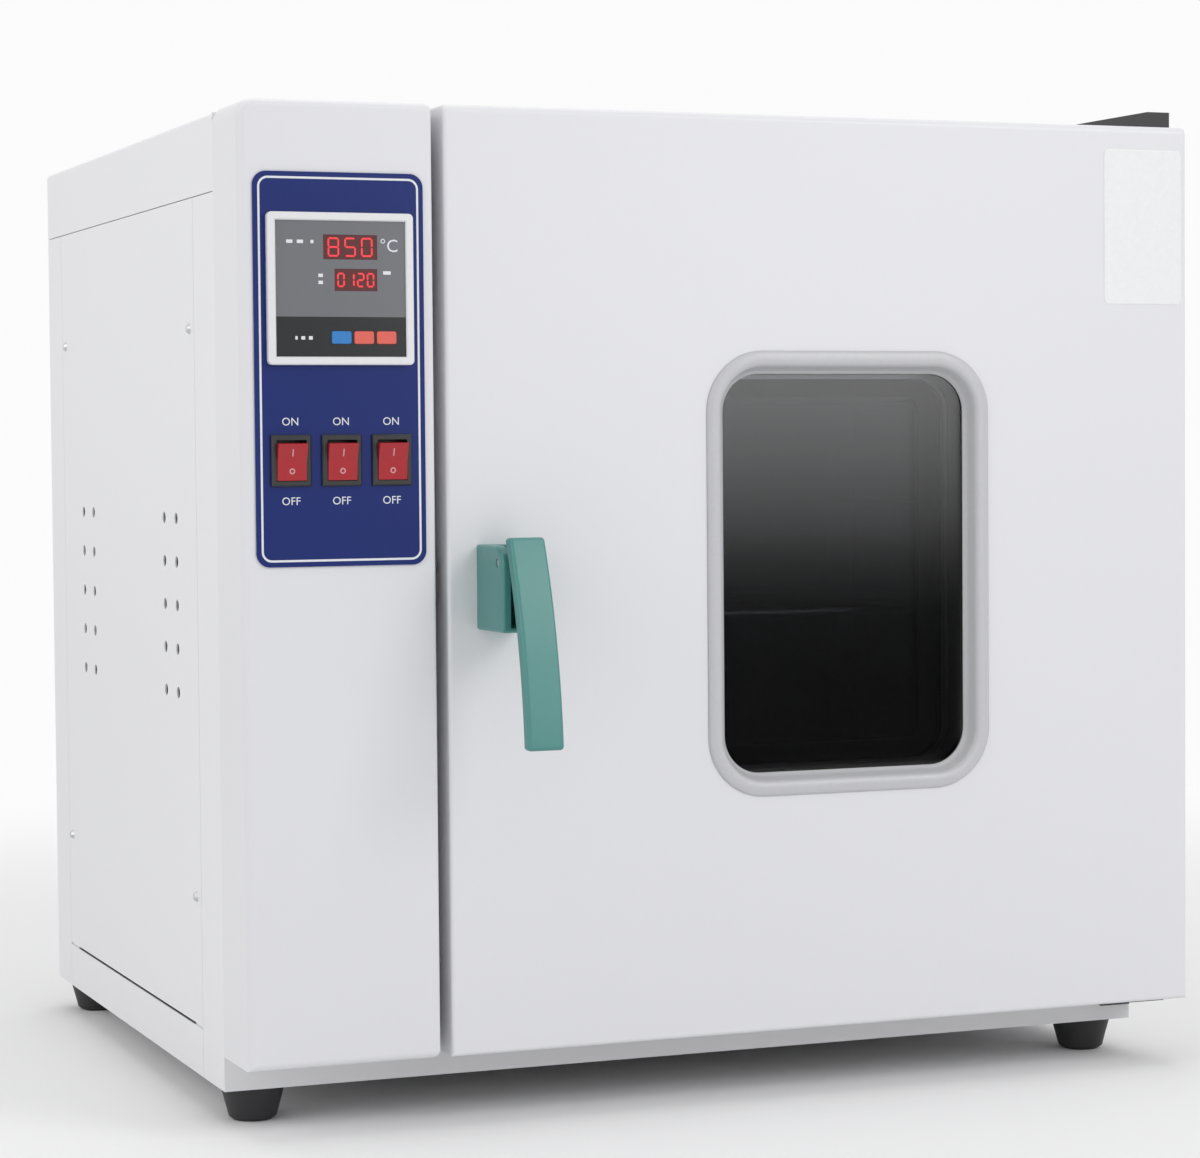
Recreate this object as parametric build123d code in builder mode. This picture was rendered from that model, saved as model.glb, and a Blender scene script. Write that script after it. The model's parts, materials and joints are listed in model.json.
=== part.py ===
"""Bench-top hot-air drying oven: a steel cabinet on four rubber feet, a control
column on the left, a glazed door hinged on the right and a lined chamber with a
side-mounted blower. X runs to the right, Y to the back and Z up. The origin is on
the floor, in the middle of the space that the whole oven takes up."""

import os
from math import atan, cos, degrees, hypot, radians, sin, tan

from build123d import *

os.makedirs("parts", exist_ok=True)

# Cabinet and the two pressed shells in front of it
SHELL_W = 696.0
SHELL_H = 624.0
SHELL_D = 62.5
SHELL_LIFT = 23.5
COLUMN_W = 130.0
COLUMN_GAP = 8.0
BODY_INSET = 11.0
BODY_DROP = 3.5
BODY_D = 518.0
FOOT_H = 24.0
SHEET = 1.2
SHELL_SHEET = 1.5
CORNER_R = 11.0
FRONT_EDGE_R = 5.0
GAP_EDGE_R = 2.5
TOP_EDGE_R = 3.0
SEAM = 0.6
SEAT = 0.3

# Folds of the cabinet sheets
SKIRT_H = 51.0
POST_FRONT = 54.0
POST_REAR = 48.0
POST_LIP = 24.0
RAIL_H = 32.5
RAIL_GAP = 2.0
SIDE_FLANGE = 6.0

# Screws and vent holes in the sheets
SCREW_R = 2.0
SCREW_HEAD_R = 3.8
SCREW_HEAD_H = 2.2
SCREW_HEAD_TAPER = 32
SCREW_LENGTH = 8.0
SCREW_INSET = 12.0
SIDE_SCREW_PITCH = 384.0
REAR_SCREW_PITCH = 210.0
REAR_SCREWS_ACROSS = 3
VENT_R = 4.2
VENT_PITCH_Y = 34.0
VENT_PITCH_Z = 30.0
VENT_ROWS = 5
VENT_GROUP_PITCH = 257.0
REAR_VENT_X = 60.0
HOLE_SIDES = 12

# Feet and mains inlet
FOOT_TOP_R = 22.0
FOOT_BOTTOM_R = 15.5
FOOT_EDGE = 2.5
FOOT_INSET = 26.0
GLAND_REACH = 24.0
GLAND_R = 10.0
GLAND_BORE_R = 4.5
GLAND_NUT_R = 14.0
GLAND_NUT_T = 5.0
GLAND_X = 60.0
GLAND_Z = 70.0

# Chamber, its mouth measured from the four edges of the door
MOUTH_LEFT = 30.0
MOUTH_RIGHT = 63.0
MOUTH_LIFT = 42.0
MOUTH_DROP = 62.0
MOUTH_R = 8.0
CHAMBER_BACK = 118.0
LINER = 1.0
WOOL = 44.0
FLOOR_LIFT = 50.0
FLOOR_SETBACK = 12.0
SLOT_L = 50.0
SLOT_W = 8.0
SLOT_PITCH_X = 72.0
SLOT_PITCH_Y = 60.0
SLOT_COLUMNS = 5
SLOT_ROWS = 6
DUCT_W = 28.0
BAFFLE_SETBACK = 14.0
GRILLE_HOLE_R = 6.0
GRILLE_PITCH = 17.0
GRILLE_RINGS = 2
OUTLET_DROP = 40.0
OUTLET_PITCH = 45.0
OUTLETS = 6
OUTLET_L = 40.0
OUTLET_W = 6.0
WIRING_HOLE_W = 80.0
WIRING_HOLE_H = 420.0

# Blower
BLOWER_LIFT = 293.5
BLOWER_Y = 318.5
MOTOR_R = 40.0
MOTOR_FLANGE_R = 52.0
MOTOR_FLANGE_T = 4.0
MOTOR_LENGTH = 72.0
MOTOR_BELL_R = 31.0
MOTOR_BELL_L = 8.0
MOTOR_RIBS = 12
MOTOR_RIB_H = 2.5
MOTOR_RIB_T = 2.0
SHAFT_R = 4.0
SHAFT_CLEARANCE = 0.05
SHAFT_HOLE_R = 8.0
SHAFT_GRIP = 48.0
IMPELLER_R = 78.0
IMPELLER_EYE_R = 50.0
IMPELLER_T = 19.0
IMPELLER_SHEET = 1.4
IMPELLER_SETOFF = 4.0
IMPELLER_HUB_R = 13.0
BLADES = 10
BLADE_T = 1.6
BLADE_R = 46.0
BLADE_START_R = 50.0
BLADE_SWEEP = 14.0

# Heaters, probe and exhaust
HEATER_R = 4.0
HEATER_LIFT = 25.0
HEATER_LEG_PITCH = 52.0
HEATER_PITCH = 120.0
HEATERS = 3
HEATER_END = 50.0
HEATER_COLLAR_R = 8.0
HEATER_COLLAR_T = 2.0
HEATER_TAIL = 16.0
PROBE_R = 3.0
PROBE_NUT_R = 7.0
PROBE_NUT_T = 5.0
PROBE_LIFT = 430.0
PROBE_Y = 150.0
PROBE_REACH = 60.0
EXHAUST_R = 25.0
EXHAUST_WALL = 2.0
EXHAUST_Y = 300.0
EXHAUST_RISE = 10.0
EXHAUST_FLANGE_R = 34.0
EXHAUST_FLANGE_T = 1.5
EXHAUST_HOLES = 6
EXHAUST_HOLE_R = 5.0
EXHAUST_HOLE_PCD_R = 14.5
STUD_R = 2.5
CAP_R = 29.5
CAP_T = 2.5
CAP_SKIRT = 5.5
KNOB_R = 8.0
KNOB_H = 9.0

# Solid-state relay and its heat sink on the compartment wall
RELAY_OFFSET = 110.0
RELAY_LIFT = 180.0
RELAY_T = 27.0
RELAY_W = 45.0
SINK_T = 18.0
SINK_W = 60.0
SINK_H = 80.0
SINK_PITCH = 10.0
SINK_SLOTS = 5

# Shelves and the ladders that carry them
ROD_R = 3.0
WIRE_R = 1.5
LADDER_FIRST = 25.0
LADDER_HEAD = 40.0
LADDER_PITCH = 78.0
LADDER_FRONT = 52.0
LADDER_BACK = 48.0
RUNG_OVERHANG = 14.0
RUNG_INSET = 5.9
SHELF_FRONT = 38.0
SHELF_BACK = 22.0
SHELF_CORNER_R = 12.0
SHELF_WIRES = 13
SHELF_FIT = 1.0
SHELF_STAYS = 2
STAY_DROP = 2.4
ROD_SIDES = 8
LOWER_LEVEL = 2
UPPER_LEVEL = 4

# Door
DOOR_D = 56.0
WINDOW_RIGHT_OF_MID = 12.25
WINDOW_LIFT = 312.85
WINDOW_W = 210.5
WINDOW_H = 300.0
WINDOW_R = 40.0
BEZEL_FLANGE = 9.0
BEZEL_LIP = 5.0
BEZEL_DEPTH = 8.0
BEZEL_BACK = 1.5
BEZEL_FIT = 0.2
GLASS_T = 4.0
GLASS_EDGE = 6.0
TUNNEL_T = 1.5
MID_FRAME_DEPTH = 33.0
MID_FRAME_T = 4.0
MID_FRAME_W = 3.0
INNER_STEP = 15.0
INNER_GLASS_EDGE = 10.0
INNER_FRAME_T = 1.5
LINER_FLANGE = 8.0
GASKET_W = 12.0
GASKET_OFFSET = 4.0
GASKET_EDGE = 2.2
DOOR_WOOL_MARGIN = 30.0

# Hinges
PIN_INSET = 14.0
PIN_DEPTH = 28.0
PIN_R = 4.0
PIN_GRIP = 18.0
HINGE_BLOCK = 20.0
BRACKET_T = 3.0
BRACKET_LIFT = 0.6
BRACKET_W = 22.0
BRACKET_EDGE = 5.5
PIN_HEAD_T = 2.0
BRACKET_TAIL = 58.0
LOWER_BRACKET_LEG = 12.0
COVER_LEFT = 76.0
COVER_FLAT = 24.0
COVER_RIGHT = 6.0
COVER_H = 11.5
COVER_SETBACK = 13.0
COVER_WALL = 1.8
COVER_REAR = 70.0

# Handle, lever and latch, heights above the shell's bottom edge
BOSS_INSET = 34.5
BOSS_W = 29.0
BOSS_D = 50.0
BOSS_LOW = 281.0
BOSS_HIGH = 337.0
BOSS_TOP_R = 14.0
BOSS_EDGE_R = 2.5
BOSS_WALL = 5.5
BOSS_FLOOR = 3.0
BOSS_BACK = 8.0
BOSS_OPEN = 22.0
BOSS_ROUND_R = 2.0
LEVER_W = 24.5
LEVER_T = 10.0
LEVER_LOW = 208.0
LEVER_HIGH = 342.5
LEVER_TOP_REACH = 57.0
LEVER_REACH = 90.0
LEVER_BULGE = 6.1
LEVER_EDGE_R = 2.5
PIVOT_REACH = 40.0
PIVOT_Z = 326.0
PIVOT_R = 3.0
WEB_W = 14.0
WEB_R = 6.5
WEB_REACH = 15.0
LEVER_TRAVEL = 28.0
LATCH_ROD_R = 3.0
LATCH_ROD_L = 78.0
LATCH_ROD_TILT = 4.0
BOLT_Y = 24.0
BOLT_T = 4.5
BOLT_THROW = 6.5
BOLT_NOSE_H = 14.0
BOLT_NOSE_Z = 313.0
BOLT_NOSE_GAP = 0.9
BOLT_PLATE_W = 24.0
BOLT_PLATE_H = 52.0
BOLT_SLOT_W = 7.6
CASE_WALL = 2.0
CASE_REACH = 20.0
KEEPER_T = 0.8
KEEPER_H = 26.0
KEEPER_HUMP = 4.8
KEEPER_HUMP_L = 11.0
KEEPER_TAIL = 26.0
KEEPER_NOSE_GAP = 3.0

# Control panel on the column
PLATE_RIGHT_OF_MID = 1.0
PLATE_MARGIN = 8.0
PLATE_DROP = 172.7
PLATE_H = 253.0
PLATE_R = 9.0
PLATE_T = 1.2
PANEL_FIT = 0.3
CONTROLLER_RISE = 51.7
CONTROLLER_W = 97.5
CONTROLLER_BODY_W = 91.0
CONTROLLER_BODY_D = 56.0
CONTROLLER_LIP = 5.0
CONTROLLER_RIM = 5.2
CONTROLLER_EDGE_R = 1.5
SCREEN_SETBACK = 1.6
SCREEN_T = 2.4
DISPLAY_SETBACK = 0.4
UPPER_DISPLAY_X = 6.5
UPPER_DISPLAY_RISE = 26.75
UPPER_DISPLAY_W = 36.2
UPPER_DISPLAY_H = 15.9
LOWER_DISPLAY_X = 10.1
LOWER_DISPLAY_RISE = 5.75
LOWER_DISPLAY_W = 28.6
LOWER_DISPLAY_H = 14.3
KEY_W = 13.2
KEY_H = 8.2
KEY_PROUD = 1.0
KEY_T = 3.6
KEY_TRAVEL = 0.8
KEY_R = 1.2
KEY_EDGE = 0.4
KEY_DROP = 31.2
KEY_PITCH = 15.1
KEYS = 3
SWITCH_DROP = 58.3
SWITCH_PITCH = 33.8
SWITCH_W = 26.4
SWITCH_H = 33.0
SWITCH_EDGE = 0.8
SWITCH_LIP = 2.6
SWITCH_BODY_W = 23.0
SWITCH_BODY_H = 29.0
SWITCH_BODY_D = 26.0
SWITCH_POCKET_W = 20.0
SWITCH_POCKET_H = 26.4
SWITCH_POCKET_D = 15.0
ROCKER_W = 19.4
ROCKER_HALF_H = 12.0
ROCKER_END = 5.0
ROCKER_VALLEY = 3.4
ROCKER_PIN_R = 1.5
ROCKER_BACK = 6.0
ROCKER_PIVOT_IN = 2.4
ROCKER_TILT = 11.0

# Places worked out from the sizes above
LEFT = (SCREW_HEAD_H - SHELL_W) / 2
COLUMN_RIGHT = LEFT + COLUMN_W
DOOR_LEFT = COLUMN_RIGHT + COLUMN_GAP
DOOR_RIGHT = LEFT + SHELL_W
BODY_RIGHT = DOOR_RIGHT - BODY_INSET
FACE = (LEVER_REACH - SHELL_D - BODY_D - GLAND_REACH) / 2
BODY_FRONT = FACE + SHELL_D
BODY_REAR = BODY_FRONT + BODY_D
DOOR_REAR = FACE + DOOR_D
BODY_Z = FOOT_H
SHELL_Z = BODY_Z + SHELL_LIFT
SHELL_TOP = SHELL_Z + SHELL_H
BODY_TOP = SHELL_TOP - BODY_DROP
SKIRT_Z = BODY_TOP - SKIRT_H
PANEL_FRONT = BODY_FRONT + POST_FRONT + SEAM
PANEL_REAR = BODY_REAR - POST_REAR - SEAM
PANEL_LOW = BODY_Z + RAIL_H + RAIL_GAP
PANEL_HIGH = SKIRT_Z - SEAM
PANEL_MID_Z = (PANEL_LOW + PANEL_HIGH) / 2
MOUTH_X0 = DOOR_LEFT + MOUTH_LEFT
MOUTH_X1 = DOOR_RIGHT - MOUTH_RIGHT
MOUTH_Z0 = SHELL_Z + MOUTH_LIFT
MOUTH_Z1 = SHELL_TOP - MOUTH_DROP
MOUTH_W = MOUTH_X1 - MOUTH_X0
MOUTH_H = MOUTH_Z1 - MOUTH_Z0
MOUTH_MID = ((MOUTH_X0 + MOUTH_X1) / 2, (MOUTH_Z0 + MOUTH_Z1) / 2)
LINER_FRONT = BODY_FRONT + SHEET
CHAMBER_REAR = BODY_REAR - CHAMBER_BACK
WALL_X = MOUTH_X0 - LINER - WOOL - SHEET
BLOWER = (FACE + BLOWER_Y, SHELL_Z + BLOWER_LIFT)
DUCT_X = MOUTH_X0 + DUCT_W
FLOOR_Z = MOUTH_Z0 + FLOOR_LIFT
EXHAUST = (MOUTH_MID[0], BODY_FRONT + EXHAUST_Y)
PROBE = (BODY_FRONT + PROBE_Y, MOUTH_Z0 + PROBE_LIFT)
HEATER_Z = MOUTH_Z0 + HEATER_LIFT
HEATER_MID_Y = (BODY_FRONT + CHAMBER_REAR) / 2
LEG_R = HEATER_LEG_PITCH / 2
WINDOW = ((DOOR_LEFT + DOOR_RIGHT) / 2 + WINDOW_RIGHT_OF_MID, SHELL_Z + WINDOW_LIFT)
BEZEL = BEZEL_FLANGE + BEZEL_LIP
OPENING = (WINDOW_W - 2 * BEZEL, WINDOW_H - 2 * BEZEL, WINDOW_R - BEZEL)
HINGE = (DOOR_RIGHT - PIN_INSET, FACE + PIN_DEPTH)
PIVOT = (FACE - PIVOT_REACH, SHELL_Z + PIVOT_Z)
BOSS_MID = DOOR_LEFT + BOSS_INSET
PLATE_FACE = FACE - PLATE_T
PANEL_MID = (LEFT + COLUMN_RIGHT) / 2 + PLATE_RIGHT_OF_MID
PLATE_W = COLUMN_W - 2 * PLATE_MARGIN
PLATE_MID_Z = SHELL_TOP - PLATE_DROP
FEET_X = (LEFT + FOOT_INSET, BODY_RIGHT - FOOT_INSET)
FEET_Y = (BODY_FRONT + FOOT_INSET, BODY_REAR - FOOT_INSET)
SIDE_SCREWS_Z = (PANEL_MID_Z - SIDE_SCREW_PITCH / 2, PANEL_MID_Z + SIDE_SCREW_PITCH / 2)
SIDE_SCREWS = [
    (y, z) for y in (PANEL_FRONT + SCREW_INSET, PANEL_REAR - SCREW_INSET) for z in SIDE_SCREWS_Z
]
REAR_SCREWS_X = [BODY_RIGHT - SCREW_INSET - n * REAR_SCREW_PITCH for n in range(REAR_SCREWS_ACROSS)]
REAR_SCREWS = [
    (x, z)
    for x in REAR_SCREWS_X
    for z in (BODY_Z + SCREW_INSET, PANEL_HIGH - SCREW_INSET)
]
BAFFLE_FRONT = BODY_FRONT + BAFFLE_SETBACK
FLOOR_FRONT = BODY_FRONT + FLOOR_SETBACK
IMPELLER_X = MOUTH_X0 + IMPELLER_SETOFF
HEATER_LEGS = [
    (HEATER_MID_Y + (n - (HEATERS - 1) / 2) * HEATER_PITCH + side * LEG_R, HEATER_Z)
    for n in range(HEATERS)
    for side in (-1, 1)
]
LADDER_X0 = DUCT_X + SHEET + ROD_R + SEAT
LADDER_X1 = MOUTH_X1 - ROD_R - SEAT
LADDER_SPACE = MOUTH_Z1 - FLOOR_Z - LADDER_FIRST - LADDER_HEAD
LADDER_LEVELS = 1 + int(LADDER_SPACE / LADDER_PITCH)
CONTROLLER = (PANEL_MID, PLATE_MID_Z + CONTROLLER_RISE)
SCREEN_W = CONTROLLER_W - 2 * CONTROLLER_RIM
SCREEN_BACK = PLATE_FACE - CONTROLLER_LIP + SCREEN_SETBACK + SCREEN_T
SWITCH_XS = [PANEL_MID + n * SWITCH_PITCH for n in (-1, 0, 1)]
SWITCH_MID_Z = PLATE_MID_Z - SWITCH_DROP
KEY_MIDS = [(PANEL_MID + n * KEY_PITCH, CONTROLLER[1] - KEY_DROP) for n in range(KEYS)]
DISPLAY_MIDS = (
    (PANEL_MID + UPPER_DISPLAY_X, CONTROLLER[1] + UPPER_DISPLAY_RISE),
    (PANEL_MID + LOWER_DISPLAY_X, CONTROLLER[1] + LOWER_DISPLAY_RISE),
)
DISPLAY_SIZES = ((UPPER_DISPLAY_W, UPPER_DISPLAY_H), (LOWER_DISPLAY_W, LOWER_DISPLAY_H))
ROCKER_PIVOT_Y = PLATE_FACE - SWITCH_LIP + ROCKER_PIVOT_IN
DOOR_INSIDE = (
    (DOOR_LEFT + SHELL_SHEET, SHELL_Z + SHELL_SHEET),
    (DOOR_RIGHT - SHELL_SHEET, SHELL_TOP - SHELL_SHEET),
)
GLASS_Y = FACE + BEZEL_DEPTH + BEZEL_BACK
INNER_GLASS_Y = DOOR_REAR - SHEET - GLASS_T
HINGE_BLOCKS_Z = (SHELL_Z + SHELL_SHEET + PIN_GRIP / 2, SHELL_TOP - SHELL_SHEET - PIN_GRIP / 2)
BOSS_Z0 = SHELL_Z + BOSS_LOW
BOSS_Z1 = SHELL_Z + BOSS_HIGH
ROD_UP = tan(radians(LATCH_ROD_TILT))
ROD_DOWN = tan(radians(LEVER_TRAVEL - LATCH_ROD_TILT))
SKIN_REACH = PIVOT_REACH + SHELL_SHEET
ROD_SLOT_W = 2 * (LATCH_ROD_R + SEAM)
ROD_SLOT_H = SKIN_REACH * (ROD_UP + ROD_DOWN) + ROD_SLOT_W + SEAM
ROD_SLOT_Z = PIVOT[1] + SKIN_REACH * (ROD_UP - ROD_DOWN) / 2
BOLT_REACH = PIVOT_REACH + BOLT_Y + BOLT_T / 2
BOLT_DROP = BOLT_REACH * (ROD_UP + ROD_DOWN)
BOLT_SLOT_RUN = hypot(BOLT_THROW, BOLT_DROP) + 4 * SEAM
BOLT_SLANT = degrees(atan(BOLT_THROW / BOLT_DROP))
BOLT_PLATE_X = BOSS_MID - BOLT_THROW / 2
BOLT_PLATE_MID = PIVOT[1] + BOLT_REACH * (ROD_UP - ROD_DOWN) / 2
BOLT_NOSE_MID = SHELL_Z + BOLT_NOSE_Z
CASE_SLOT_H = BOLT_DROP + 2 * LATCH_ROD_R + 10 * SEAM
CASE_RIGHT = BOSS_MID + CASE_REACH
ROD_PLANE = Plane(
    origin=(BOSS_MID, *PIVOT),
    x_dir=(1, 0, 0),
    z_dir=(0, cos(radians(LATCH_ROD_TILT)), sin(radians(LATCH_ROD_TILT))),
)
LEVER_FRONT_POINTS = (
    (FACE - LEVER_TOP_REACH, SHELL_Z + LEVER_HIGH),
    (
        FACE - (LEVER_TOP_REACH + LEVER_REACH) / 2 - LEVER_BULGE,
        SHELL_Z + (LEVER_LOW + LEVER_HIGH) / 2,
    ),
    (FACE - LEVER_REACH, SHELL_Z + LEVER_LOW),
)


def rectangle_between(low, high, mode=Mode.ADD):
    """A rectangle between two opposite corners of the sketch."""
    with Locations(((low[0] + high[0]) / 2, (low[1] + high[1]) / 2)):
        Rectangle(high[0] - low[0], high[1] - low[1], mode=mode)


def block_between(low, high, mode=Mode.ADD):
    """A block between two opposite corners of the oven's own frame."""
    with Locations(tuple((a + b) / 2 for a, b in zip(low, high))):
        Box(*(b - a for a, b in zip(low, high)), mode=mode)


def facing_front(y):
    """A sketch plane at depth y, drawn in X and Z as the oven is seen from the front."""
    return Plane.XZ.offset(-y)


def rounded(size, grow=0.0, mode=Mode.ADD):
    """The window's rounded rectangle, made wider by grow on every side."""
    width, height, radius = size
    RectangleRounded(width + 2 * grow, height + 2 * grow, radius + grow, mode=mode)


def bar(radius, sides=ROD_SIDES, mode=Mode.ADD):
    """The section of a rod, wire or hole that repeats, drawn round with few sides."""
    RegularPolygon(radius, sides, mode=mode)


def panel_holes(mode=Mode.ADD):
    """Outlines of the holes for the controller's case and the three switch bodies."""
    fit = 2 * PANEL_FIT
    with Locations(CONTROLLER):
        Rectangle(CONTROLLER_BODY_W + fit, CONTROLLER_BODY_W + fit, mode=mode)
    with Locations(*((x, SWITCH_MID_Z) for x in SWITCH_XS)):
        Rectangle(SWITCH_BODY_W + fit, SWITCH_BODY_H + fit, mode=mode)


def cut_services():
    """Holes through the walls left of the chamber, and one up through its roof."""
    with BuildSketch(Plane.YZ.offset(WALL_X)) as wall_holes:
        with Locations(BLOWER):
            bar(SHAFT_HOLE_R, HOLE_SIDES)
        with Locations(PROBE):
            bar(PROBE_R + SEAT)
        with Locations(*HEATER_LEGS):
            bar(HEATER_R + SEAT)
    extrude(wall_holes.sketch, amount=MOUTH_X0 - WALL_X, mode=Mode.SUBTRACT)
    with BuildSketch(Plane.XY.offset(MOUTH_Z1)) as roof_hole:
        with Locations(EXHAUST):
            Circle(EXHAUST_R + SEAT)
    extrude(roof_hole.sketch, amount=LINER + WOOL, mode=Mode.SUBTRACT)


# Front frame: the cabinet's face round the chamber's mouth, folded back into the left post
with BuildPart() as front_frame:
    with BuildSketch(facing_front(BODY_FRONT)):
        rectangle_between((LEFT, BODY_Z), (BODY_RIGHT, BODY_TOP))
        with Locations(MOUTH_MID):
            RectangleRounded(MOUTH_W, MOUTH_H, MOUTH_R, mode=Mode.SUBTRACT)
        with Locations((PANEL_MID, SHELL_Z + SHELL_H / 2)):
            Rectangle(WIRING_HOLE_W, WIRING_HOLE_H, mode=Mode.SUBTRACT)
    extrude(amount=-SHEET)
    post_end = BODY_FRONT + POST_FRONT
    block_between((LEFT, BODY_FRONT, BODY_Z), (LEFT + SHEET, post_end, PANEL_HIGH))
    block_between(
        (LEFT + SHEET, post_end - POST_LIP / 2, BODY_Z + SHEET),
        (LEFT + 2 * SHEET, post_end + POST_LIP, PANEL_HIGH),
    )
    with BuildSketch(Plane.YZ.offset(LEFT)):
        with Locations(*((PANEL_FRONT + SCREW_INSET, z) for z in SIDE_SCREWS_Z)):
            bar(SCREW_R + PANEL_FIT)
    extrude(amount=2 * SHEET, mode=Mode.SUBTRACT)
front_frame.part.label = "front_frame"
export_step(front_frame.part, "parts/front_frame.step")

# Rear panel: the cabinet's back, folded forward into the left rear post
with BuildPart() as rear_panel:
    block_between((LEFT, BODY_REAR - SHEET, BODY_Z), (BODY_RIGHT, BODY_REAR, PANEL_HIGH))
    post_end = BODY_REAR - POST_REAR
    block_between((LEFT, post_end, BODY_Z), (LEFT + SHEET, BODY_REAR, PANEL_HIGH))
    block_between(
        (LEFT + SHEET, post_end - POST_LIP, BODY_Z + SHEET),
        (LEFT + 2 * SHEET, post_end + POST_LIP / 2, PANEL_HIGH),
    )
    with BuildSketch(Plane.YZ.offset(LEFT)):
        with Locations(*((PANEL_REAR - SCREW_INSET, z) for z in SIDE_SCREWS_Z)):
            bar(SCREW_R + PANEL_FIT)
    extrude(amount=2 * SHEET, mode=Mode.SUBTRACT)
    with BuildSketch(facing_front(BODY_REAR)):
        with Locations(*REAR_SCREWS):
            bar(SCREW_R + PANEL_FIT)
        with Locations((LEFT + GLAND_X, BODY_Z + GLAND_Z)):
            Circle(GLAND_R)
        with Locations((LEFT + REAR_VENT_X, PANEL_MID_Z)):
            with GridLocations(VENT_PITCH_Y, VENT_PITCH_Z, 2, VENT_ROWS):
                bar(VENT_R, HOLE_SIDES)
    extrude(amount=SHEET, mode=Mode.SUBTRACT)
rear_panel.part.label = "rear_panel"
export_step(rear_panel.part, "parts/rear_panel.step")

# Right side: one plain sheet with short folds behind the front frame and the rear panel
with BuildPart() as right_side:
    near = LINER_FRONT
    far = BODY_REAR - SHEET
    block_between((BODY_RIGHT - SHEET, near, BODY_Z), (BODY_RIGHT, far, PANEL_HIGH))
    for y in (near, far - SHEET):
        block_between(
            (BODY_RIGHT - SIDE_FLANGE, y, BODY_Z + SHEET),
            (BODY_RIGHT - SHEET, y + SHEET, PANEL_HIGH),
        )
right_side.part.label = "right_side"
export_step(right_side.part, "parts/right_side.step")

# Base pan: the cabinet's floor, turned up into the rail under the left side panel
with BuildPart() as base_pan:
    block_between(
        (LEFT + SHEET, LINER_FRONT, BODY_Z),
        (BODY_RIGHT - SHEET, BODY_REAR - SHEET, BODY_Z + SHEET),
    )
    block_between((LEFT, PANEL_FRONT, BODY_Z), (LEFT + SHEET, PANEL_REAR, BODY_Z + RAIL_H))
base_pan.part.label = "base_pan"
export_step(base_pan.part, "parts/base_pan.step")

# Top cover: a shallow pan upside down, its skirts closing the sides and the back
with BuildPart() as top_cover:
    block_between((LEFT, LINER_FRONT, SKIRT_Z), (BODY_RIGHT, BODY_REAR, BODY_TOP))
    fillet(top_cover.faces().sort_by(Axis.Z)[-1].edges().sort_by(Axis.Y)[1:], TOP_EDGE_R)
    block_between(
        (LEFT + SHEET, LINER_FRONT, SKIRT_Z),
        (BODY_RIGHT - SHEET, BODY_REAR - SHEET, BODY_TOP - SHEET),
        mode=Mode.SUBTRACT,
    )
    with Locations((*EXHAUST, BODY_TOP)):
        Cylinder(EXHAUST_R + SEAT, 6 * SHEET, mode=Mode.SUBTRACT)
top_cover.part.label = "top_cover"
export_step(top_cover.part, "parts/top_cover.step")

# Left side panel: a lift-off sheet with two groups of round vent holes
with BuildPart() as left_side_panel:
    with BuildSketch(Plane.YZ.offset(LEFT)):
        rectangle_between((PANEL_FRONT, PANEL_LOW), (PANEL_REAR, PANEL_HIGH))
        for y in (BLOWER[0] - VENT_GROUP_PITCH / 2, BLOWER[0] + VENT_GROUP_PITCH / 2):
            with Locations((y, BLOWER[1])):
                with GridLocations(VENT_PITCH_Y, VENT_PITCH_Z, 2, VENT_ROWS):
                    bar(VENT_R, HOLE_SIDES, Mode.SUBTRACT)
        with Locations(*SIDE_SCREWS):
            bar(SCREW_R + PANEL_FIT, mode=Mode.SUBTRACT)
    extrude(amount=SHEET)
left_side_panel.part.label = "left_side_panel"
export_step(left_side_panel.part, "parts/left_side_panel.step")

# One pan-head screw, its head up and its seat at the origin
with BuildPart() as one_screw:
    with BuildSketch():
        bar(SCREW_R)
    extrude(amount=-SCREW_LENGTH)
    with BuildSketch():
        bar(SCREW_HEAD_R, HOLE_SIDES)
    extrude(amount=SCREW_HEAD_H, taper=SCREW_HEAD_TAPER)

# Screws of the left side panel and of the rear panel, their heads outside
with BuildPart() as panel_screws:
    with Locations(*(Location((LEFT, y, z), (0, -90, 0)) for y, z in SIDE_SCREWS)):
        add(one_screw.part)
    with Locations(*(Location((x, BODY_REAR, z), (-90, 0, 0)) for x, z in REAR_SCREWS)):
        add(one_screw.part)
panel_screws.part.label = "panel_screws"
export_step(panel_screws.part, "parts/panel_screws.step")

# Tapered rubber feet under the four corners of the base pan
with BuildPart() as one_foot:
    with BuildSketch(Plane.XZ) as foot_outline:
        with BuildLine():
            Polyline((0, 0), (FOOT_BOTTOM_R, 0), (FOOT_TOP_R, FOOT_H), (0, FOOT_H), close=True)
        make_face()
        chamfer(foot_outline.vertices().filter_by_position(Axis.X, 1, FOOT_BOTTOM_R), FOOT_EDGE)
    revolve(axis=Axis.Z)
with BuildPart() as feet:
    with Locations(*((x, y, 0) for x in FEET_X for y in FEET_Y)):
        add(one_foot.part)
feet.part.label = "feet"
export_step(feet.part, "parts/feet.step")

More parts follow.
